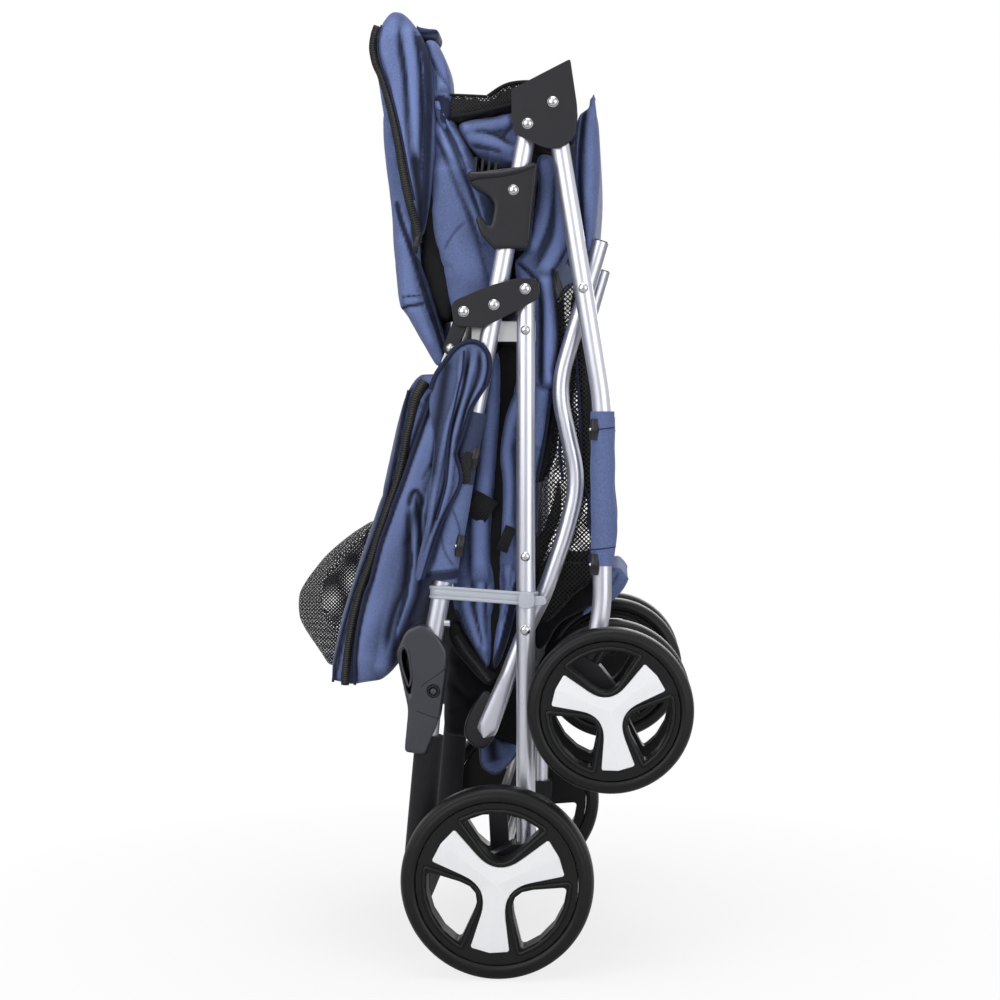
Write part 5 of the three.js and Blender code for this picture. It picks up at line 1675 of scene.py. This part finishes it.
class STROLLER_OT_rear_canopy(bpy.types.Operator):
    """Rear canopy: zipped panel, deep folds, net pocket, and its front hem round the handle tube"""

    bl_idname = "stroller.rear_canopy"
    bl_label = "Rear canopy"

    def execute(self, context):
        self.panel(finishes())
        self.hem(finishes())
        return {"FINISHED"}

    @staticmethod
    def panel(f):
        """The rear canopy: long rolls between deep folds with painted shade in them, bound edges, a
        zip and two cords along its back, and the net pocket behind it."""
        outline = floor(
            [-88, 239], [-91, 243], [-98, 244], [-106, 241], [-112, 232], [-117, 224], [-121, 208],
            [-125, 188], [-131, 159], [-138, 126], [-146, 101], [-154, 79], [-167, 43], [-178, 7],
            [-183, -13], [-188, -36], [-191, -52], [-180, -56], [-168, -58], [-155, -55],
            [-141, -54], [-131, -46], [-126, -40], [-120, -22], [-112, 6], [-101, 35], [-94, 55],
            [-87, 75], [-81, 95], [-75, 120], [-69, 145], [-63, 172], [-59, 195], [-55, 215],
            [-53, 232], [-51, 250], [-57, 264], [-70, 264], [-80, 252])

        def out_past_the_tube(x, z):
            """A rise of 11 mm that ends where the handle tube lies."""
            tube_left = handle_at(z)[0] - TUBE_R
            return 11 * np.clip((tube_left + 1 - x) / 7, 0, 1) ** 0.7

        outer = floor([-116, 226], [-121, 206], [-124, 188], [-130, 159], [-137, 126], [-145, 101],
                      [-153, 79], [-166, 43], [-177, 7], [-182, -13], [-187, -36], [-189, -52])
        gap = floor(
            [-88, 216], [-93, 204], [-99, 189], [-107, 168], [-116, 145], [-126, 120], [-134, 100],
            [-141, 76], [-146, 57], [-150, 38], [-156, 20], [-161, 0], [-164, -24], [-165, -50])
        main = floor([-80, 214], [-87, 183], [-96, 160], [-106, 137], [-116, 114], [-125, 91],
                     [-132, 65], [-138, 39], [-147, 7], [-152, -19], [-155, -52])
        second = floor([-70, 236], [-75, 212], [-77, 195], [-80, 172], [-84, 152], [-88, 137],
                       [-91, 115], [-93, 94], [-95, 72], [-98, 52])
        left_strip = floor(
            [-108, 119], [-106, 97], [-104, 79], [-103, 62], [-107, 39], [-109, 28], [-116, 7],
            [-123, -14])
        right_strip = floor(
            [-95, 108], [-96, 86], [-98, 65], [-99, 43], [-102, 34], [-108, 13], [-113, -2])
        foot = floor([-121, 90], [-124, 55], [-130, 20], [-136, -14], [-140, -48])
        mouth = floor([-110, 116], [-108, 126], [-104, 131], [-100, 127], [-98, 115])
        piece = roll(
            "rear_canopy_cloth", outline, 151, f["canopy_cloth"], "canopy_frame", shrink=1.5, cap=5,
            stands_for=["rear_canopy"], bulge=out_past_the_tube,
            rolls=[(main, 15, 10), (second, 7, 8), (left_strip, 4.5, 7), (right_strip, 4.5, 7.5),
                   (foot, 11, 8), (floor([-88, 238], [-96, 228], [-104, 216]), 8, 4)],
            # painted shadow along the gaps and broad painted shade beside the rolls
            creases=[(gap, 3.6, 5, 1.0), (mouth, 2.0, 4, 0.9),
                     (floor([-103, 118], [-112, 84], [-118, 50], [-126, 16], [-134, -20]), 5.5, 1.5,
                      0.55),
                     (floor([-74, 204], [-78, 176], [-82, 150], [-88, 120], [-96, 84]), 5.0, 1.0,
                      0.6),
                     (floor([-88, 130], [-96, 96], [-99, 60], [-106, 22], [-114, -8]), 3.0, 1.0,
                      0.5),
                     (floor([-104, 128], [-103, 120], [-101, 104], [-100, 80], [-101, 50],
                            [-104, 30], [-111, 12], [-117, -6]), 1.9, 5, 0.9),
                     (floor([-110, 118], [-111, 100], [-112, 79], [-113, 58], [-117, 36],
                            [-123, 22], [-129, 2], [-132, -20]), 2.0, 4, 0.7),
                     (floor([-70, 210], [-71, 196], [-73, 178], [-76, 160], [-79, 143], [-82, 123],
                            [-85, 101], [-90, 79], [-95, 58], [-98, 40]), 2.4, 5, 0.95),
                     (floor([-81, 200], [-83, 184], [-86, 168], [-89, 150]), 1.4, 2.5, 0.5),
                     (floor([-97, 142], [-93, 149], [-88, 158]), 1.2, 1.5, 0.4),
                     (floor([-77, 219], [-71, 218], [-62, 221]), 1.4, 2.0, 0.5),
                     (floor([-95, 110], [-92, 96], [-91, 80]), 1.5, 2.0, 0.5)],
            bands=[(outer, 8.5),
                   (floor([-90, 219], [-95, 205], [-100, 189], [-109, 163], [-117, 139],
                          [-126, 116], [-131, 101], [-138, 82], [-143, 62], [-148, 43], [-152, 34],
                          [-158, 8], [-163, -21], [-165, -54]), 4.2)],
            waves=[(-25, 27, 0.6)])
        t = np.linspace(0, 1, 120)
        bunched = np.stack([1 + 0.45 * np.exp(-(t / 0.09) ** 2), np.ones(120)], -1)
        chain = floor(
            [-95, 234], [-101, 225], [-106, 213], [-109, 199], [-113, 181], [-117, 159],
            [-122, 139], [-129, 119], [-135, 101], [-141, 84], [-147, 63], [-155, 42], [-160, 25],
            [-165, 5], [-169, -20], [-172, -42], [-173, -55])
        zipped("canopy_zip", piece, chain, "canopy_frame", 7.5, scale=bunched)
        piped("canopy_cord_outer", piece, outer + [4.5, 0], "canopy_frame", 1.3)
        inner = floor(
            [-89, 222], [-93, 206], [-99, 190], [-108, 164], [-116, 140], [-125, 117], [-130, 102],
            [-137, 83], [-142, 63], [-147, 44], [-152, 32], [-157, 8], [-161, -21], [-163, -54])
        piped("canopy_cord_inner", piece, inner, "canopy_frame", 1.5)
        pocket = floor(
            [-150, 100], [-180, 84], [-198, 70], [-213, 54], [-225, 40], [-233, 27], [-235, 14],
            [-233, -2], [-226, -15], [-213, -34], [-201, -50], [-186, -40], [-172, 25], [-160, 63])
        roll("pocket_net", pocket, 74, f["close_net"], "canopy_frame", cap=3, shrink=1, rounding=9,
             fill=0.4, creases=[(floor([-226, -2], [-208, 4], [-190, 10]), 1.6, 2, 0.5)])

    @staticmethod
    def hem(f):
        """The canopy's front: a loop of cloth that passes over the handle tube and runs down
        on the tube's outer side in long pleats with painted shade between them, with a corded edge."""
        over = floor([-89, 226], [-84, 240], [-75, 253], [-65, 265], [-56, 270], [-48, 271],
                     [-40, 267], [-34, 258], [-33, 246], [-35, 235], [-37, 229])
        edge = floor(
            [-37, 229], [-43, 220], [-51, 207], [-56, 191], [-62, 174], [-65, 165], [-61, 152],
            [-60, 140], [-65, 127], [-74, 111], [-79, 100], [-85, 84], [-92, 61], [-96, 48])
        back = floor([-104, 46], [-102, 66], [-97, 88], [-93, 110], [-92, 130], [-89, 150],
                     [-87, 172], [-88, 190], [-91, 208])
        outline = np.vstack([over, edge[1:], back])
        pale = floor([-47, 262], [-49, 248], [-54, 230], [-60, 207], [-65, 186], [-68, 169],
                     [-70, 152], [-72, 134], [-78, 114], [-85, 92], [-93, 68])
        second = floor([-58, 264], [-60, 248], [-61, 230], [-66, 212], [-72, 195], [-77, 172],
                       [-81, 152], [-85, 130], [-89, 108], [-93, 86])
        pleat = floor([-57, 262], [-58, 244], [-62, 227], [-67, 204], [-71, 181], [-73, 159],
                      [-74, 139], [-78, 121], [-83, 104])
        for side, sign in SIDES.items():
            piece = roll(
                f"canopy_front_{side}", outline, 180.0, f["canopy_cloth"], "handle", near=174.8,
                sign=sign, rounding=1.5, shrink=0.4, cap=1.5, fineness=0.5,
                rolls=[(pale, 3.4, 3.8), (second, 3.0, 3.0),
                       (floor([-39, 262], [-38, 246], [-41, 232], [-50, 214], [-57, 194]), 2.4,
                        2.5)],
                # painted shadow in the creases, broad painted shade inside the loop
                creases=[(floor([-53, 264], [-54, 246], [-57, 228], [-63, 207], [-69, 186],
                                [-72, 163], [-75, 139], [-81, 116], [-88, 92]), 1.7, 2.2, 1.0),
                         (floor([-43, 262], [-43, 246], [-47, 230], [-55, 210], [-61, 188],
                                [-66, 170]), 1.7, 1.8, 0.9),
                         (floor([-70, 258], [-74, 244], [-77, 226], [-80, 206], [-84, 184],
                                [-87, 160], [-89, 138]), 6.0, 1.2, 0.95)],
                bands=[(edge, 2.4), (over, 3.0)])
            for name, line, radius in (("loop", over, 2.1), ("edge", edge, 1.6)):
                swept(f"canopy_{name}_cord_{side}", in_plane(flowing(line, 60), sign * 178.6),
                      ring(radius, 10), f["trim"], "handle")
            swept(f"canopy_pleat_cord_{side}", laid_on(piece, pleat, sign), ring(1.0, 8),
                  f["trim"], "handle")


class STROLLER_OT_sleeves(bpy.types.Operator):
    """Cloth sleeves round the front legs and the handle tubes, with their snap clips"""

    bl_idname = "stroller.sleeves"
    bl_label = "Sleeves"

    def execute(self, context):
        for side, sign in SIDES.items():
            self.leg_sleeve(side, sign, finishes())
            self.handle_sleeve(side, sign, finishes())
        return {"FINISHED"}

    def leg_sleeve(self, side, sign, f):
        """A tube of cloth on the front leg, fuller low down on its outer edge, with a curved
        seam near each end."""
        low, high = node_box(f"leg_sleeve_{side}")
        axis = (low + high) / 2
        rows = 80
        share = np.linspace(0, 1, rows)
        z = np.linspace(high[2] + 7, low[2] - 4, rows)
        path = np.stack([np.full(rows, axis[0]), np.full(rows, axis[1]), z], -1)
        ripple = 0.03 * np.sin(share * 21) * np.sin(share * 5)
        belly = 0.11 * np.exp(-((share - 0.73) / 0.13) ** 2)
        loose = 1.06 + ripple + belly
        path[:, 0] += 1.8 * np.exp(-((share - 0.75) / 0.15) ** 2)
        piece = swept(f"leg_sleeve_cloth_{side}", path, ring(10.6, 48), f["cloth"], "front_frame",
                      scale=loose, soft_angle=60)
        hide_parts(f"leg_sleeve_{side}")
        for k, at in enumerate((9, 70)):
            a = np.arange(40) * TAU / 40
            radius = 10.6 * loose[at] + 0.1
            loop = np.stack([path[at, 0] + radius * np.cos(a), path[at, 1] + radius * np.sin(a),
                             path[at, 2] + 1.4 * np.cos(a)], -1)
            swept(f"leg_sleeve_seam_{k}_{side}", loop, ring(0.6, 6), f["trim"], "front_frame",
                  across=(0, 0, 1), closed=True)
        for k, height in enumerate((188.5, 62)):
            self.clip(f"leg_clip_{k}_{side}", floor([64.8, height])[0], sign * (SIDE_Y + 8.6), 0.05,
                      "front_frame", f)

    @staticmethod
    def clip(name, centre, y, lean, body, f):
        """A snap clip: a rounded bar with a raised middle and a metal stud."""
        t = np.linspace(-1, 1, 15)
        path = np.stack([centre[0] + 10 * lean * t, y + 0 * t, centre[1] + 10 * t], -1)
        scale = np.stack([0.75 + 0.25 * np.cos(t * 1.4), 0.7 + 0.5 * np.exp(-(t / 0.35) ** 2)], -1)
        swept(name, path, ring(1, 12) * [4.8, 4.0], f["plastic"], body, scale=scale, soft_angle=50)
        dome(name + "_stud", centre - [3.4, 0], y + math.copysign(2.2, y), math.copysign(1, y), 1.8,
             0.8, f["chrome"], body)

    def handle_sleeve(self, side, sign, f):
        """A sleeve high on the handle tube in the shaded copy of the cloth, which is painted shade,
        and below it a flared flap of cloth, open at its hem: ellipses whose half widths grow
        towards the hem."""
        rows = 60
        t = np.linspace(0, 1, rows)
        upper = in_plane(np.linspace(handle_at(FLOOR[1] + 205), handle_at(FLOOR[1] + 134), 30),
                         sign * SIDE_Y)
        swept(f"handle_sleeve_dark_{side}", upper, ring(10.8, 32), f["dark_cloth"], "handle",
              soft_angle=60)
        height = np.array([138.0, 114, 93, 72, 54, 46])
        middle = np.interp(-(138 - 92 * t), -height, [-60.5, -64.8, -69.2, -74.7, -79, -80.5])
        half = np.interp(-(138 - 92 * t), -height, [10.9, 11.4, 11.8, 12.6, 15.2, 15.6])
        path = in_plane(FLOOR + np.stack([middle, 138 - 92 * t], -1), sign * SIDE_Y)
        depth = 11.2 + 1.6 * t
        piece = swept(f"handle_sleeve_cloth_{side}", path, ring(1, 48), f["cloth"], "handle",
                      scale=np.stack([half, depth], -1), soft_angle=60)
        hem_line = floor([-97, 52], [-84, 55], [-72, 56], [-62, 58])
        # painted shadow in the sleeve's creases
        relief(piece, creases=[(hem_line, 0.9, 0.8, 0.8),
                               (floor([-69, 114], [-65, 105], [-62, 93], [-64, 83]), 0.8, 0.5, 0.8),
                               (floor([-80, 92], [-77, 77], [-72, 67], [-67, 59]), 0.8, 0.5, 0.8),
                               (floor([-82, 100], [-84, 80], [-88, 62]), 2.5, 1.2, 0.3)],
               bands=[(hem_line - [0, 5], 4.2)])
        self.clip(f"sleeve_clip_{side}", floor([-61.5, 79])[0], sign * (SIDE_Y + 9), 0.15, "handle",
                  f)
        self.clip(f"sleeve_clip_upper_{side}", floor([-48, 161.5])[0], sign * (SIDE_Y + 7), 0.23,
                  "handle", f)
        strap = floor([-60, 164], [-51, 167], [-51, 150], [-52.5, 139], [-59, 138], [-59.5, 150])
        moulded(f"sleeve_strap_{side}", strap, SIDE_Y + 9.6, SIDE_Y + 12, sign, f["webbing"],
                "handle", 0.6)


class STROLLER_OT_basket(bpy.types.Operator):
    """Folded basket behind the rear legs"""

    bl_idname = "stroller.basket"
    bl_label = "Basket"

    def execute(self, context):
        f = finishes()
        body = floor(
            [-77, -10], [-64, -10], [-52, -26], [-38, -46], [-27, -66], [-6, -40], [7, -40],
            [10, -80], [10, -116], [-9, -126], [-26, -120], [-48, -114], [-82, -114], [-85, -92],
            [-79, -52])
        roll("basket_cloth", body, 104, f["black_cloth"], "floor_frame", shrink=2, rounding=6,
             stands_for=["basket"],
             creases=[(floor([-76, -60], [-50, -84], [-30, -100]), 3, 3, 0.2),
                      (floor([-80, -90], [-58, -80], [-40, -66]), 2, 2, 0.2)])
        tip = floor([-49, -112], [-50, -130], [-49, -143], [-41, -149], [-33, -153], [-22, -144],
                    [-9, -127], [-8, -112], [-24, -118], [-36, -112])
        roll("basket_tip", tip, 102, f["cloth"], "floor_frame", cap=2, shrink=1, rounding=4,
             bands=[(floor([-49, -116], [-48, -142], [-33, -151], [-20, -142], [-9, -127]), 2.4)],
             # painted shade in the wide crease
             creases=[(floor([-38, -112], [-36, -126], [-34, -138]), 6, 1.5, 1.0)])
        return {"FINISHED"}


class STROLLER_OT_ties(bpy.types.Operator):
    """Packing tie round the handle tube and the rear leg"""

    bl_idname = "stroller.ties"
    bl_label = "Ties"

    def execute(self, context):
        """The path goes round the back of the handle tube, across to the rear leg and round
        it; a strip with two rails is carried along it."""
        f = finishes()
        around = TUBE_R + 1.7
        tube = handle_at(FLOOR[1] + 35)
        turns = [(tube[0], np.radians(np.linspace(100, 270, 16))),
                 (LINK[0], np.radians(np.linspace(270, 440, 16)))]
        plan = np.vstack([np.stack([x + around * np.cos(a), -SIDE_Y + around * np.sin(a)],
                                   -1) for x, a in turns])
        drop = np.interp(plan[:, 0], [tube[0], LINK[0]], [35.2, 29.6])
        path = np.stack([plan[:, 0], plan[:, 1], FLOOR[1] + drop], -1)
        strip = {"web": (0.0, [[-0.35, -5.0], [0.35, -5.0], [0.35, 5.0], [-0.35, 5.0]]),
                 "rail_top": (4.6, ring(1, 8) * [1.3, 1.7]),
                 "rail_foot": (-4.6, ring(1, 8) * [1.3, 1.7])}
        pieces = [swept(f"tie_{name}", path + [0, 0, rise], profile, f["clear"], "rear_frame",
                        across=(0, 0, 1)) for name, (rise, profile) in strip.items()]
        head = floor([-5, 22], [-5, 34.5], [7.5, 34.5], [7.5, 22])
        pieces.append(moulded("tie_head", head, SIDE_Y + 9.5, SIDE_Y + 15.5, -1, f["clear"],
                              "rear_frame", 1.2))
        tail = floor([6, 23.5], [6, 31], [18, 31.5], [19, 24.5])
        pieces.append(moulded("tie_tail", tail, SIDE_Y + 9.8, SIDE_Y + 12.2, -1, f["clear"],
                              "rear_frame", 0.8))
        for piece in pieces:
            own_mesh(piece)
        return {"FINISHED"}


OPERATORS = (
    STROLLER_OT_stage,
    STROLLER_OT_tubes,
    STROLLER_OT_fittings,
    STROLLER_OT_rivets,
    STROLLER_OT_wheels,
    STROLLER_OT_hood,
    STROLLER_OT_cabin,
    STROLLER_OT_windows,
    STROLLER_OT_rear_canopy,
    STROLLER_OT_sleeves,
    STROLLER_OT_basket,
    STROLLER_OT_ties,
)


class STROLLER_PT_panel(bpy.types.Panel):
    """Lists the settings and the pieces"""

    bl_idname = "STROLLER_PT_panel"
    bl_label = "Stroller"
    bl_space_type = "VIEW_3D"
    bl_region_type = "UI"
    bl_category = "Stroller"

    def draw(self, context):
        for name in StrollerSettings.__annotations__:
            self.layout.prop(context.scene.stroller, name)
        for operator in OPERATORS:
            self.layout.operator(operator.bl_idname)


CLASSES = (StrollerSettings, *OPERATORS, STROLLER_PT_panel)


def register():
    for cls in CLASSES:
        bpy.utils.register_class(cls)
    bpy.types.Scene.stroller = bpy.props.PointerProperty(type=StrollerSettings)


def unregister():
    del bpy.types.Scene.stroller
    for cls in reversed(CLASSES):
        bpy.utils.unregister_class(cls)


def main():
    register()
    for operator in OPERATORS:
        group, action = operator.bl_idname.split(".")
        getattr(getattr(bpy.ops, group), action)()
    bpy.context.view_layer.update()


if __name__ == "__main__":
    main()
